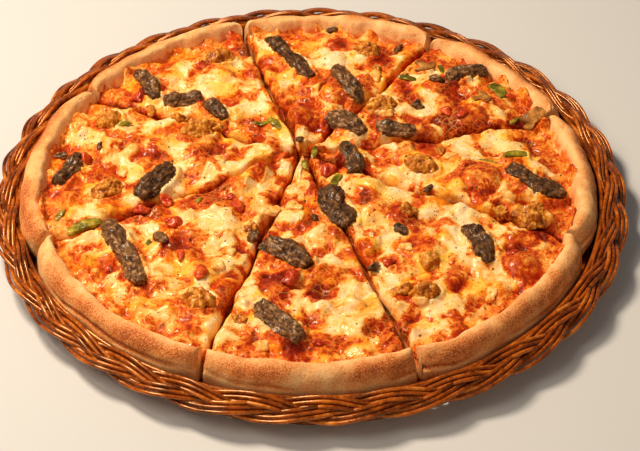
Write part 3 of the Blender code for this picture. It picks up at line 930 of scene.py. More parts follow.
# A slice of cheese: rows from its tip out to its edge on the crust, with the values for its colours
def cheeseRows(index, shares):
    angles = sliceAngles(index, shares)
    bottom = pizza["sauceTop"] + pizza["gap"]
    tip = pizza["tip"]
    wander = slopeWaver(np.cos(angles) * footRadius, np.sin(angles) * footRadius)
    ragged = layeredNoise(onRing(angles, cheeseRadius), cheese["ragged"])
    edge = ringDistance(angles, footRadius + cheese["climb"] + wander + ragged)
    steps = np.linspace(0, 1, int((edge.mean() - tip) / cheese["rowStep"]))
    steps = np.unique(np.concatenate([[0, 0.002, 0.005], steps[1:-3], [0.990, 0.995, 0.9985, 1.0]]))
    reach = tip + (edge - tip) * steps[:, None]
    across = np.broadcast_to(shares, reach.shape)
    over = 0.25 + 0.9 * softNoise(onPlan(reach.ravel(), np.full(reach.size, index * 1.7)), 0.012, 43)
    closing = cheese["overrun"] * np.clip(over, -0.7, 1).reshape(reach.shape) * np.minimum(1, reach / 0.02)
    x, y = slicePlan(index, across, reach, closing, towardsCrust(angles, reach))
    spots = onPlan(x.ravel(), y.ravel())
    height, values = meltedSurface(x.ravel(), y.ravel())
    beyond = (reach - ringDistance(angles, footRadius)).ravel()
    height -= 0.0005 * rise(-0.010, -0.002, beyond)
    slope = slopeHeight(beyond - slopeWaver(x.ravel(), y.ravel())) + cheese["film"]
    height = np.maximum(height, slope) + layeredNoise(spots, cheese["bubbles"]) * rise(-0.012, -0.004, beyond)
    bare = 0.75 * rise(-0.011, -0.003, beyond + 0.0030 * softNoise(spots, 0.010, 47))
    values["tone"] = values["tone"] * (1 - bare) + bare * (0.40 + 0.26 * softNoise(spots, 0.007, 48))
    least, most = cheese["cutRounding"]
    uneven = np.clip(0.5 + 0.7 * softNoise(spots, 0.011, 44), 0, 1).reshape(reach.shape)
    rounding = least + (most - least) * uneven * np.clip(reach / 0.05, 0.15, 1)
    side = np.minimum(across, 1 - across) * (angles[-1] - angles[0]) * reach / rounding
    bulge = np.ones_like(reach)
    for part in (side, (edge - reach) / cheese["edgeRounding"], (reach - tip) / cheese["tipRounding"]):
        bulge *= np.sqrt(1 - (1 - np.clip(part, 0, 1)) ** 2)
    base = bottom + 0.0002
    height = base + (height.reshape(reach.shape) - base) * bulge
    values["tone"] = values["tone"].reshape(reach.shape) - 0.26 * (1 - bulge) ** 1.5
    top = np.stack([x, y, height], axis=-1)
    sides = top[:, [0, -1]]
    sides[..., 2] = bottom
    beside = ((0, 0), (1, 1))
    values = {key: np.pad(numbers.reshape(reach.shape), beside, "edge") for key, numbers in values.items()}
    return np.concatenate([sides[:, :1], top, sides[:, 1:]], axis=1), values


def makeCheese():
    shares = sliceShares(cheese["columns"], cheese["cutEnds"])
    made = []
    for index in range(sliceCount):
        rows, values = cheeseRows(index, shares)
        made.append(addSlice("melted", "cheese", index, rows, values, meltedCheese))
    print("cheese done")
    return made


meltedCheese = cheeseMaterial()
cheesePieces = makeCheese()

# Sauce: only the ring by the crust and the sides of the cuts show
sauce = {
    "columns": 150,
    "cutEnds": (0.0, 0.004, 0.010),
    "ringStep": 0.0007,
    "ringStart": 0.0080,                    # how far inside the cheese's edge its uneven ring begins
    "ringEnd": 0.0008,
    "innerRows": 34,
    "lumps": ((0.0007, 0.005, 53), (0.0004, 0.0022, 54)),       # layers of amount, size and seed
    "ragged": ((0.0007, 0.009, 51), (0.0004, 0.004, 52)),
    "climbs": ((0.0008, -0.0005, 0.0020), (0.0010, 0.0020, 0.0042)),    # height, and from where to where
    "lip": ((0.0, 0.0016), (0.0003, 0.0010)),       # how far beyond its edge, and how high
}
sauceFinish = {
    "red": (
        (0.10, (132, 24, 3)), (0.35, (174, 46, 5)), (0.55, (202, 76, 10)), (0.75, (222, 110, 22)),
        (0.95, (238, 146, 48)),
    ),
    "speck": paint(96, 22, 4),
    "fixed": {
        "Subsurface Weight": 0.05, "Subsurface Radius": (0.004, 0.001, 0.0005), "Subsurface Scale": 0.5,
        "Specular IOR Level": 0.4, "Coat Weight": 0.1, "Coat Roughness": 0.2,
    },
}


def sauceMaterial():
    material, tree, shader = newMaterial("tomato sauce")
    place, tones = mottle(tree, 1.3, 0.003)
    level = calc(tree, "MULTIPLY_ADD", tones["Broad"], 0.45, times(tree, tones["Middle"], 0.55))
    colour = colourRamp(tree, level, sauceFinish["red"])
    specks = speckle(tree, place, 330.0, 0.10)
    colour = overlay(tree, colour, specks["Speck"], 0.7, sauceFinish["speck"])
    rough = spread(tree, tones["Fine"], 0.1, 0.9, 0.28, 0.55, soft=False)
    normal = bumps(tree, (tones["Fine"], 0.0003), (tones["Middle"], 0.0004))
    finishSurface(tree, shader, colour, rough, normal, sauceFinish["fixed"])
    return material


# Rows over a slice of sauce: from its tip out to its lip on the crust and back below
def sauceRows(angles, rings):
    bottom = pizza["doughTop"] + pizza["gap"]
    level = pizza["sauceTop"]
    tip = np.full_like(angles, pizza["tip"])
    start = ringDistance(angles, rings[0])
    rows = [(tip, bottom), (tip, level)]
    for share in np.linspace(0, 1, sauce["innerRows"], endpoint=False)[1:]:
        rows.append((tip + (start - tip) * share, level))
    ragged = layeredNoise(onRing(angles, sauceRadius), sauce["ragged"])
    for ring in rings:
        share = (ring - rings[0]) / (sauceRadius - rings[0])
        lumps = layeredNoise(onRing(angles, ring), sauce["lumps"]) * min(1.0, share * 3)
        climb = sum(tall * rise(low, high, ring - cheeseRadius) for tall, low, high in sauce["climbs"])
        rows.append((ringDistance(angles, ring + ragged * share), level + climb + lumps))
    outer = ringDistance(angles, sauceRadius + ragged)
    rows.extend((outer + further, level + higher) for further, higher in sauce["lip"])
    rows.append((ringDistance(angles, footRadius - 0.0005), bottom))
    rows.append(((tip + start) / 2, bottom))
    return rows


def makeSauce():
    material = sauceMaterial()
    shares = sliceShares(sauce["columns"], sauce["cutEnds"])
    rings = np.arange(cheeseRadius - sauce["ringStart"], sauceRadius - sauce["ringEnd"], sauce["ringStep"])
    for index in range(sliceCount):
        grid = sliceGrid(index, shares, sauceRows(sliceAngles(index, shares), rings))
        addSlice("tomato", "sauce", index, grid, {}, material)
    print("sauce done")


makeSauce()

# Toppings: each starts as a finer copy of its solid, then takes its own surface
toppings = {
    "beef": {"voxel": 0.00062, "smoothing": 9, "slot": "grilled_beef"},
    "chicken": {"voxel": 0.00065, "smoothing": 2, "slot": "seasoned_chicken"},
    "pepper": {"voxel": 0.00045, "smoothing": 3, "slot": "sweet_pepper"},
    "mushroom": {"voxel": 0.00045, "smoothing": 3, "slot": "mushroom"},
}


def fineCopy(node, voxel, smoothing):
    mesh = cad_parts[node].data.copy()
    copy = newObject("fineCopy", mesh)
    weld = copy.modifiers.new("weld", "WELD")
    weld.merge_threshold = 0.00001
    remesh = copy.modifiers.new("remesh", "REMESH")
    remesh.mode = "VOXEL"
    remesh.voxel_size = voxel
    smooth = copy.modifiers.new("smooth", "SMOOTH")
    smooth.factor = 0.5
    smooth.iterations = smoothing
    result = appliedMesh(copy)
    bpy.data.objects.remove(copy, do_unlink=True)
    bpy.data.meshes.remove(mesh)
    return result


def meshPoints(mesh):
    points = np.empty(len(mesh.vertices) * 3, np.float32)
    mesh.vertices.foreach_get("co", points)
    normals = np.empty_like(points)
    mesh.vertices.foreach_get("normal", normals)
    return points.reshape(-1, 3).astype(float), normals.reshape(-1, 3).astype(float)


def movePoints(mesh, points):
    mesh.vertices.foreach_set("co", points.astype(np.float32).ravel())
    mesh.update()


# Places along, across and above the middle of a piece, from its own longest direction
def pieceFrame(points):
    middle = points.mean(axis=0)
    plan = points[:, :2] - middle[:2]
    vectors = np.linalg.eigh(plan.T @ plan)[1]
    return np.column_stack([plan @ vectors[:, 1], plan @ vectors[:, 0], points[:, 2] - middle[2]])


# Each finish: four colours from dark to light, roughness, size of the grain, and coat
toneStops = (0.10, 0.40, 0.65, 0.95)
toppingFinishes = {
    "beef": ("grilled beef", ((36, 17, 7), (80, 47, 23), (124, 82, 46), (192, 146, 100)),
             (0.30, 0.56), 1.8, 0.25),
    "chicken": ("seasoned chicken", ((112, 46, 5), (184, 100, 18), (222, 146, 46), (250, 202, 112)),
                (0.30, 0.50), 1.2, 0.28),
    "pepper": ("sweet pepper", ((58, 54, 6), (102, 94, 12), (150, 132, 26), (206, 178, 62)),
               (0.18, 0.34), 0.8, 0.35),
    "mushroom": ("mushroom", ((80, 40, 12), (132, 78, 28), (178, 116, 48), (216, 160, 86)),
                 (0.36, 0.58), 1.0, 0.1),
    "tomato": ("cooked tomato", ((120, 16, 4), (174, 40, 8), (206, 68, 14), (232, 112, 34)),
               (0.18, 0.36), 1.0, 0.3),
}


def cookedMaterial(name, colours, roughness, grainSize, coat):
    material, tree, shader = newMaterial(name)
    place, tones = mottle(tree, grainSize, 0.003)
    level = plus(tree, times(tree, tones["Middle"], 0.45), times(tree, tones["Fine"], 0.2))
    # The stored lightness holds the topping's own tone, together with painted highlight and painted shade
    # that follow its relief.
    level = plus(tree, level, times(tree, stored(tree, "high"), 0.4))
    colour = colourRamp(tree, level, tuple(zip(toneStops, colours)))
    specks = speckle(tree, place, 420.0, 0.10)
    colour = overlay(tree, colour, specks["Speck"], 0.7, paint(40, 24, 12))
    rough = spread(tree, tones["Middle"], 0.2, 0.8, *roughness, soft=False)
    normal = bumps(tree, (tones["Fine"], 0.0003), (tones["Middle"], 0.0005))
    finishSurface(tree, shader, colour, rough, normal, {
        "Specular IOR Level": 0.35, "Specular Tint": paint(255, 220, 176), "Coat Weight": coat,
        "Coat Roughness": 0.15})
    return material


fibreSize = np.array([0.0050, 0.0012, 0.0012])      # along, across and up


# Each relief: how far the surface is pushed out, and how light it is; the lightness partly follows the
# relief, as painted highlight on raised parts and painted shade in hollows
def beefRelief(points, turned, seed):
    strands = softNoise(turned / fibreSize, 1.0, seed)
    chunks = softNoise(points, 0.0040, seed + 1)
    crumbs = softNoise(points, 0.0013, seed + 2)
    bends = softNoise(points, 0.0110, seed + 3)
    notches = np.clip(1 - np.abs(softNoise(points, 0.0065, seed + 4)) * 5, 0, 1)
    push = 0.0003 + 0.0017 * bends + 0.0005 * chunks + 0.00042 * strands + 0.00020 * crumbs - 0.0005 * notches
    lighter = 0.22 * math.sin(seed * 1.7)
    # Lighter on the raised strands and crumbs, which is the meat's own grain and also painted highlight;
    # darker in the notches, as painted shade.
    return push, 0.42 + lighter + 0.60 * strands + 0.30 * chunks + 0.40 * crumbs - 0.4 * notches


def chickenRelief(points, seed):
    chunks = softNoise(points, 0.0060, seed)
    large = lumpField(points[:, 0], points[:, 1], 0.0046, seed)[0]
    small = lumpField(points[:, 0], points[:, 1], 0.0022, seed + 1)[0]
    crumbs = softNoise(points, 0.0012, seed + 2)
    push = 0.0012 * chunks + 0.0020 * (large - 0.4) + 0.0013 * (small - 0.4) + 0.00028 * crumbs
    # Lighter on the raised lumps, which is the coating's own tone and also painted highlight, with painted
    # shade between the lumps.
    return push, -0.05 + 0.6 * large + 0.6 * small + 0.3 * crumbs


def smoothRelief(points, seed):
    bends = softNoise(points, 0.0050, seed)
    ribs = softNoise(points, 0.0018, seed + 1)
    return 0.00030 * bends + 0.00010 * ribs, 0.5 + 0.4 * bends + 0.2 * ribs


toppingMaterial = {kind: cookedMaterial(*finish) for kind, finish in toppingFinishes.items()}


def reliefOf(kind, points, turned, seed):
    if kind == "beef":
        return beefRelief(points, turned, seed)
    if kind == "chicken":
        return chickenRelief(points, seed)
    return smoothRelief(points, seed)


def makeToppings():
    for number, name in enumerate(sorted(toppingNames)):
        kind = name.split("_")[0]
        settings = toppings[kind]
        mesh = fineCopy(name, settings["voxel"], settings["smoothing"])
        points, normals = meshPoints(mesh)
        push, high = reliefOf(kind, points, pieceFrame(points), 60 + number * 3)
        movePoints(mesh, points + normals * push[:, None])
        storeValues(mesh, {"high": high})
        dress(addObject(f"cooked_{name}", mesh, toppingMaterial[kind]), (name,))
    print("toppings done")


makeToppings()

# Smaller bits lying on the cheese: places in mm, lengths in mm, then width and height as shares of the length
bits = {
    "beef": {
        "places": ((-32, -45), (34, -71), (50, -40), (3, -33), (41, 50), (-6, 38), (76, 93), (54, 133),
                   (13, 151), (-123, 29), (-83, -48), (-146, 27), (67, -6), (64, 71)),
        "length": (5.5, 9.5), "width": 0.62, "height": 0.46, "bow": 0.0, "slot": "grilled_beef",
    },
    "pepper": {
        "places": ((2, 26), (-3, 12), (-22, 54), (-30, 56), (58, 99), (-63, -19), (122, 92), (102, 17),
                   (121, 58), (-90, -50), (-111, 53), (-140, -29), (79, 106)),
        "length": (7.0, 13.0), "width": 0.36, "height": 0.13, "bow": 0.07, "slot": "sweet_pepper",
    },
    "tomato": {
        "places": ((20, 23), (11, 10), (43, -67), (-67, 77), (-41, -21), (89, 58), (119, 82), (-71, -65),
                   (-11, -85), (5, -130), (-46, -14), (112, -62), (81, 64), (-104, 80), (-82, -16),
                   (-95, -25), (-77, -34), (-59, -80), (-132, 22)),
        "length": (6.0, 11.0), "width": 0.70, "height": 0.34, "bow": 0.05, "slot": "tomato_sauce",
    },
    "chicken": {
        "places": ((107, -26), (127, -19), (75, 30), (49, -90), (-57, 50), (-78, 56), (26, 79),
                   (55, -28), (-96, 67), (-37, -114), (66, -67), (40, 107), (-33, -40)),
        "length": (6.0, 11.0), "width": 0.78, "height": 0.50, "bow": 0.0, "slot": "seasoned_chicken",
    },
    "cheese": {
        "places": ((-9, -22), (-4, -3), (45, 62), (53, -55), (81, 23), (-25, -133), (39, 102),
                   (-44, -62), (59, -98), (-108, 12), (-52, 20), (98, -92), (-50, -74), (-21, -25)),
        "length": (7.0, 13.0), "width": 0.72, "height": 0.40, "bow": 0.0, "slot": "melted_cheese",
    },
}
bitShape = {
    "rounds": 4,
    "unevenness": 0.42,
    "apart": 0.041,         # keeps the noise of two bits apart
    "lift": 0.15,           # of its height
    "firstSeed": 300,
    "seedStep": 50,
}


def roundShell(rounds):
    shape = bmesh.new()
    bmesh.ops.create_icosphere(shape, subdivisions=rounds, radius=1.0)
    points = np.array([vertex.co[:] for vertex in shape.verts])
    faces = [[vertex.index for vertex in face.verts] for face in shape.faces]
    shape.free()
    return points, faces


def makeBits(kind, seed):
    settings = bits[kind]
    draw = np.random.default_rng(seed)
    shell, shellFaces = roundShell(bitShape["rounds"])
    points, faces, highs = [], [], []
    for number, (middleX, middleY) in enumerate(settings["places"]):
        length = draw.uniform(*settings["length"]) * 0.001
        turn = draw.uniform(0, math.pi)
        local = shell * np.array([0.5, 0.5 * settings["width"], 0.5 * settings["height"]]) * length
        own = local + number * bitShape["apart"]
        local = local * (1 + bitShape["unevenness"] * softNoise(own, length * 0.5, seed))[:, None]
        push, high = reliefOf(kind, own, local, seed + number * 3)
        local = local + shell * push[:, None]
        local[:, 2] += settings["bow"] * length * (1 - (local[:, 0] / length * 2) ** 2)
        x = middleX * 0.001 + local[:, 0] * math.cos(turn) - local[:, 1] * math.sin(turn)
        y = middleY * 0.001 + local[:, 0] * math.sin(turn) + local[:, 1] * math.cos(turn)
        level = meltedSurface(x, y)[0]
        level = 0.5 * level + 0.5 * level.mean() + bitShape["lift"] * settings["height"] * length
        faces.extend([[corner + len(points) * len(shell) for corner in face] for face in shellFaces])
        points.append(np.stack([x, y, level + local[:, 2]], axis=-1))
        highs.append(high)
    mesh = bpy.data.meshes.new(f"{kind}_bits")
    mesh.from_pydata(np.concatenate(points).tolist(), [], faces)
    high = np.concatenate(highs)
    values = {"high": high}
    material = toppingMaterial.get(kind)
    if kind == "cheese":
        values = {"tone": 0.60 + 0.25 * high, "toast": 0 * high, "gold": 0.2 + 0 * high}
        material = meltedCheese
    storeValues(mesh, values)
    dress(addObject(f"{kind}_bits", mesh, material))


for bitNumber, bitKind in enumerate(bits):
    makeBits(bitKind, bitShape["firstSeed"] + bitNumber * bitShape["seedStep"])
print("small bits done")

# Tray: sizes of the willow rods and of the plait, in metres
tray = {
    "rodRadius": 0.00113,
    "plaitCycles": 10,
    "plaitRadius": 0.1743,
    "plaitHeight": 0.0162,
    "plaitTilt": -25.0,
    "plaitSway": 0.0044,
    "plaitLift": 0.0021,
    "rodSpacing": 0.00275,
    "rodsInStrand": 3,
    "strands": 3,
    "stations": 720,
    "sides": 8,
    "rodStray": (0.0012, 5.0),      # how far each rod strays, and how often
}


# Geometry Nodes helpers
def newTree(name, inputs):
    tree = bpy.data.node_groups.new(name, "GeometryNodeTree")
    tree.interface.new_socket("Geometry", in_out="INPUT", socket_type="NodeSocketGeometry")
    for label, kind in inputs:
        tree.interface.new_socket(label, in_out="INPUT", socket_type=kind)
    tree.interface.new_socket("Geometry", in_out="OUTPUT", socket_type="NodeSocketGeometry")
    return tree, tree.nodes.new("NodeGroupInput"), tree.nodes.new("NodeGroupOutput")


def bakeTree(name, mesh, tree, values):
    host = newObject(name, mesh)
    modifier = host.modifiers.new("shape", "NODES")
    modifier.node_group = tree
    for item in tree.interface.items_tree:
        if item.in_out == "INPUT" and item.name in values:
            modifier[item.identifier] = values[item.name]
    host.update_tag()
    result = appliedMesh(host)
    result.name = name
    host.modifiers.clear()
    host.data = result
    return host


# Ends a tree with rods swept along its paths, which keep their own values
def endSweep(tree, paths, size, result):
    ring = put(tree, "GeometryNodeCurvePrimitiveCircle",
               {"Resolution": size["Rod sides"], "Radius": size["Rod radius"]}, mode="RADIUS")
    swept = put(tree, "GeometryNodeCurveToMesh",
                {"Curve": paths, "Profile Curve": ring.outputs["Curve"], "Fill Caps": True})
    smooth = put(tree, "GeometryNodeSetShadeSmooth", {"Geometry": swept.outputs[0]})
    endTree(tree, smooth.outputs[0], size, result)


def endTree(tree, geometry, size, result):
    realized = put(tree, "GeometryNodeRealizeInstances", {"Geometry": geometry})
    finished = put(tree, "GeometryNodeSetMaterial",
                   {"Geometry": realized.outputs[0], "Material": size["Material"]})
    tree.links.new(finished.outputs[0], result.inputs[0])


def labelled(kind, *labels):
    return [(label, f"NodeSocket{kind}") for label in labels]


sweepInputs = labelled("Float", "Rod radius") + labelled("Int", "Rod sides")
sweepInputs += labelled("Material", "Material")


def makeRodTree():
    tree, given, result = newTree("rods along paths", sweepInputs)
    paths = put(tree, "GeometryNodeMeshToCurve", {"Mesh": given.outputs["Geometry"]})
    endSweep(tree, paths.outputs[0], given.outputs, result)
    return tree


# The plait: nine closed rods in three strands that sway across the rim and lift over each other
def makePlaitTree():
    floats = labelled("Float", "Cycles", "Ring radius", "Ring height", "Tilt", "Sway", "Lift", "Rod spacing")
    whole = labelled("Int", "Rods in a strand", "Strands", "Stations")
    tree, given, result = newTree("plaited rim", floats + whole + sweepInputs)
    size = given.outputs
    perStrand = size["Rods in a strand"]
    ring = put(tree, "GeometryNodeCurvePrimitiveCircle", {"Resolution": size["Stations"], "Radius": 1.0},
               mode="RADIUS")
    copies = put(tree, "GeometryNodeDuplicateElements",
                 {"Geometry": ring.outputs["Curve"], "Amount": times(tree, perStrand, size["Strands"])},
                 domain="SPLINE")
    number = copies.outputs["Duplicate Index"]
    strand = calc(tree, "FLOOR", calc(tree, "DIVIDE", number, perStrand))
    rod = calc(tree, "SUBTRACT", number, times(tree, strand, perStrand))
    rod = calc(tree, "SUBTRACT", rod, times(tree, calc(tree, "SUBTRACT", perStrand, 1.0), 0.5))
    position = put(tree, "GeometryNodeInputPosition").outputs[0]
    place = put(tree, "ShaderNodeSeparateXYZ", {0: position})
    around = calc(tree, "ARCTAN2", place.outputs[1], place.outputs[0])
    turn = calc(tree, "DIVIDE", times(tree, strand, 2 * math.pi), size["Strands"])
    phase = calc(tree, "MULTIPLY_ADD", around, size["Cycles"], turn)
    strayWidth, strayScale = tray["rodStray"]
    stray = swing(tree, grain(tree, position, strayScale, 1.0, number), strayWidth)
    side = calc(tree, "MULTIPLY_ADD", calc(tree, "COSINE", phase), size["Sway"], stray)
    side = calc(tree, "MULTIPLY_ADD", rod, size["Rod spacing"], side)
    lift = times(tree, calc(tree, "SINE", times(tree, phase, 2.0)), size["Lift"])
    lift = calc(tree, "MULTIPLY_ADD", stray, 0.5, lift)
    cosine = calc(tree, "COSINE", size["Tilt"])
    sine = calc(tree, "SINE", size["Tilt"])
    radius = calc(tree, "SUBTRACT", times(tree, side, cosine), times(tree, lift, sine))
    radius = plus(tree, radius, size["Ring radius"])
    height = plus(tree, times(tree, side, sine), times(tree, lift, cosine))
    height = plus(tree, height, size["Ring height"])
    target = put(tree, "ShaderNodeCombineXYZ", {
        0: times(tree, calc(tree, "COSINE", around), radius),
        1: times(tree, calc(tree, "SINE", around), radius),
        2: height})
    kept = put(tree, "GeometryNodeStoreNamedAttribute",
               {"Geometry": copies.outputs["Geometry"], "Name": "rod", "Value": number}, domain="POINT")
    moved = put(tree, "GeometryNodeSetPosition", {"Geometry": kept.outputs[0], "Position": target.outputs[0]})
    endSweep(tree, moved.outputs[0], size, result)
    return tree


wickerFinish = {
    "brown": ((0.30, (40, 13, 2)), (0.47, (106, 42, 5)), (0.61, (170, 80, 14)), (0.78, (230, 144, 54))),
    "fixed": {
        "Specular IOR Level": 0.95, "Specular Tint": paint(255, 198, 132), "Coat Weight": 0.1,
        "Coat Roughness": 0.1,
    },
}


def wickerMaterial():
    material, tree, shader = newMaterial("varnished wicker")
    place = put(tree, "ShaderNodeTexCoord").outputs["Object"]
    rod = stored(tree, "rod")
    around = grain(tree, place, 60.0, 3.0, rod)
    streaks = grain(tree, place, 520.0, 2.0, rod)
    level = calc(tree, "MULTIPLY_ADD", around, 0.8, times(tree, streaks, 0.3))
    colour = colourRamp(tree, level, wickerFinish["brown"])
    rough = spread(tree, streaks, 0.3, 0.7, 0.16, 0.30, soft=False)
    finishSurface(tree, shader, colour, rough, bumps(tree, (streaks, 0.00010)), wickerFinish["fixed"])
    return material


def pathMesh(name, paths, closed):
    points, edges, numbers = [], [], []
    for rod, path in enumerate(paths):
        start = len(points)
        points.extend(path.tolist())
        numbers.extend([rod] * len(path))
        edges.extend((start + k, start + k + 1) for k in range(len(path) - 1))
        if closed:
            edges.append((start + len(path) - 1, start))
    mesh = bpy.data.meshes.new(name)
    mesh.from_pydata(points, edges, [])
    storeValues(mesh, {"rod": numbers})
    return mesh


wall = {
    "stations": 360,
    "stakes": 128,
    "stakeRadius": 0.0011,
    "stakeFoot": (0.1676, 0.0020),      # radius and height
    "stakeTop": (0.1697, 0.0150),
    "lean": 7.0,                        # degrees round the tray from foot to top
    "weaverRadius": 0.0012,
    "weaverHeights": (0.0028, 0.0052, 0.0076, 0.0100, 0.0124),
    "weaverPlace": 0.1696,
    "weaverWave": 0.0006,
    "weaverSides": 8,
    "plainSides": 6,                    # of the stakes and the base
    "innerRods": ((0.1667, 0.0172), (0.1672, 0.0149), (0.1700, 0.0158), (0.1730, 0.0147), (0.1762, 0.0132)),
    "innerSway": 0.0004,
    "base": (0.010, 0.1680, 0.0024),    # first ring, last ring, and their spacing
    "baseHeight": 0.0019,
    "baseLift": 0.00065,
    "baseRod": 0.00115,
    "baseWaves": 16,
    "ribReach": (0.003, 0.168, 12),     # from, to, and points between
    "ribRadius": 0.0009,
}


def fullTurn(stations):
    return np.linspace(0, 2 * math.pi, stations, endpoint=False)


def roundPath(turn, radius, height):
    return np.stack(np.broadcast_arrays(radius * np.cos(turn), radius * np.sin(turn), height), axis=-1)


def weave(name, paths, closed, radius, sides, tree, material, nodes=()):
    values = {"Rod radius": radius, "Rod sides": sides, "Material": material}
    dress(bakeTree(f"tray_{name}", pathMesh(name, paths, closed), tree, values), nodes)


def wallPaths():
    turns = fullTurn(wall["stations"])
    paths = []
    for number, (radius, height) in enumerate(wall["innerRods"]):
        sway = wall["innerSway"] * np.sin(turns * (9 + number * 4) + number)
        paths.append(roundPath(turns, radius + sway, height + 0.8 * sway))
    for number, height in enumerate(wall["weaverHeights"]):
        wave = wall["weaverWave"] * np.cos(turns * wall["stakes"] / 4 + math.pi * number)
        paths.append(roundPath(turns, wall["weaverPlace"] + 0.05 * height + wave, height))
    return paths


def stakePaths():
    share = np.linspace(0, 1, 5)
    radius, height = [low + (high - low) * share for low, high in zip(wall["stakeFoot"], wall["stakeTop"])]
    starts = fullTurn(wall["stakes"])
    return [roundPath(start + math.radians(wall["lean"]) * share, radius, height) for start in starts]


def basePaths():
    around = fullTurn(wall["baseWaves"] * 6)
    paths = []
    for number, radius in enumerate(np.arange(*wall["base"])):
        lift = wall["baseLift"] * np.cos(around * wall["baseWaves"] + math.pi * number)
        paths.append(roundPath(around, radius, wall["baseHeight"] + lift))
    return paths


def makeTray():
    material = wickerMaterial()
    plait = bakeTree("plaited_rim", bpy.data.meshes.new("empty"), makePlaitTree(), {
        "Cycles": float(tray["plaitCycles"]),
        "Ring radius": tray["plaitRadius"],
        "Ring height": tray["plaitHeight"],
        "Tilt": math.radians(tray["plaitTilt"]),
        "Sway": tray["plaitSway"],
        "Lift": tray["plaitLift"],
        "Rod spacing": tray["rodSpacing"],
        "Rods in a strand": tray["rodsInStrand"],
        "Strands": tray["strands"],
        "Stations": tray["stations"],
        "Rod radius": tray["rodRadius"],
        "Rod sides": tray["sides"],
        "Material": material,
    })
    dress(plait, ("braided_rim",))
    rods = makeRodTree()
    plain = wall["plainSides"]
    ribTurns = fullTurn(wall["baseWaves"] * 2)
    ribs = [roundPath(turn, np.linspace(*wall["ribReach"]), wall["baseHeight"]) for turn in ribTurns]
    weave("weavers", wallPaths(), True, wall["weaverRadius"], wall["weaverSides"], rods, material,
          ("tray_body",))
    weave("stakes", stakePaths(), False, wall["stakeRadius"], plain, rods, material)
    weave("base", basePaths(), True, wall["baseRod"], plain, rods, material)
    weave("ribs", ribs, False, wall["ribRadius"], plain, rods, material)
    print("tray done")


makeTray()

# Dried herbs and ground pepper scattered over the topping
herbs = {
    "leaves": {"density": 12000.0, "size": 0.00050, "shape": (1.0, 0.50, 0.22), "seed": 5,
               "colour": (62, 56, 14)},
    "pepper": {"density": 30000.0, "size": 0.00033, "shape": (1.0, 0.85, 0.60), "seed": 8,
               "colour": (44, 24, 10)},
}
scatter = {
    "upright": 0.5,             # flakes lie only where the topping faces up more than this
    "sizes": (0.5, 1.4),
    "tilt": 0.4,
    "turn": 6.28,
}


def makeScatterTree():
    inputs = labelled("Float", "Density", "Flake size") + labelled("Vector", "Flake shape")
    inputs += labelled("Int", "Seed") + labelled("Material", "Material")
    tree, given, result = newTree("scattered flakes", inputs)
    size = given.outputs
    upright = put(tree, "ShaderNodeSeparateXYZ", {0: put(tree, "GeometryNodeInputNormal").outputs[0]})
    points = put(tree, "GeometryNodeDistributePointsOnFaces", {
        "Mesh": size["Geometry"], "Density": size["Density"], "Seed": size["Seed"],
        "Selection": calc(tree, "GREATER_THAN", upright.outputs[2], scatter["upright"])})
    flake = put(tree, "GeometryNodeMeshIcoSphere", {"Radius": size["Flake size"], "Subdivisions": 1})
    flat = put(tree, "GeometryNodeTransform",
               {"Geometry": flake.outputs["Mesh"], "Scale": size["Flake shape"]})
    least, most = scatter["sizes"]
    scale = put(tree, "FunctionNodeRandomValue", {2: least, 3: most}, data_type="FLOAT")
    placed = put(tree, "GeometryNodeInstanceOnPoints", {
        "Points": points.outputs["Points"], "Rotation": points.outputs["Rotation"],
        "Instance": flat.outputs[0], "Scale": scale.outputs[1]})
    tilt = scatter["tilt"]
    heading = put(tree, "FunctionNodeRandomValue", {0: (-tilt, -tilt, 0.0), 1: (tilt, tilt, scatter["turn"])},
                  data_type="FLOAT_VECTOR")
    turned = put(tree, "GeometryNodeRotateInstances",
                 {"Instances": placed.outputs[0], "Rotation": heading.outputs[0]})
    endTree(tree, turned.outputs[0], size, result)
    return tree


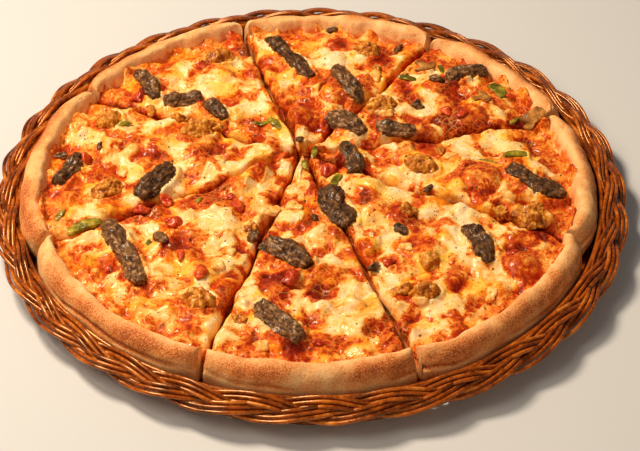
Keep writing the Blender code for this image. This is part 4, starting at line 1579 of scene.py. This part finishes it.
def herbMaterial(kind, colour):
    material, tree, shader = newMaterial(f"dried {kind}")
    tones = mottle(tree, 2.0, 0.002)[1]
    lighter = [min(255, value * 1.7) for value in colour]
    shade = blend(tree, tones["Fine"], paint(*colour), paint(*lighter))
    fill(tree, shader, {"Base Color": shade, "Roughness": 0.6})
    return material


def makeHerbs():
    shape = bmesh.new()
    for piece in cheesePieces:
        shape.from_mesh(piece.data)
    tree = makeScatterTree()
    for kind, settings in herbs.items():
        ground = bpy.data.meshes.new(kind)
        shape.to_mesh(ground)
        flakes = bakeTree(f"scattered_{kind}", ground, tree, {
            "Density": settings["density"], "Flake size": settings["size"], "Flake shape": settings["shape"],
            "Seed": settings["seed"], "Material": herbMaterial(kind, settings["colour"])})
        dress(flakes)
    shape.free()
    print("herbs done")


makeHerbs()

# Plain studio: each lamp has its place, width, power and colour
studio = {
    "floor": paint(206, 206, 208),
    "sky": paint(236, 236, 236),
    "skyStrength": 0.14,
    "lamps": (
        ("key", (-0.52, 0.27, 0.98), 0.32, 15.5, (255, 236, 208)),
        ("overhead", (-0.60, -0.35, 1.00), 0.60, 4.4, (255, 240, 216)),
        ("fill", (0.30, -1.00, 0.60), 0.80, 1.7, (255, 218, 172)),
    ),
}


def makeStudio():
    floor, tree, shader = newMaterial("pale floor")
    fill(tree, shader, {"Base Color": studio["floor"], "Roughness": 0.7})
    mesh = bpy.data.meshes.new("floor")
    mesh.from_pydata([(-4, -4, 0), (4, -4, 0), (4, 4, 0), (-4, 4, 0)], [], [(0, 1, 2, 3)])
    addObject("floor", mesh, floor)
    world = bpy.data.worlds.new("studio")
    world.use_nodes = True
    sky = world.node_tree.nodes["Background"]
    fill(world.node_tree, sky, {"Color": studio["sky"], "Strength": studio["skyStrength"]})
    bpy.context.scene.world = world
    for name, place, size, power, tint in studio["lamps"]:
        light = bpy.data.lights.new(name, "AREA")
        light.shape = "DISK"
        light.size = size
        light.energy = power
        light.color = paint(*tint)[:3]
        lamp = newObject(name, light)
        lamp.location = place
        lamp.rotation_euler = (-Vector(place)).to_track_quat("-Z", "Y").to_euler()


makeStudio()
bpy.context.scene.view_settings.view_transform = "Standard"
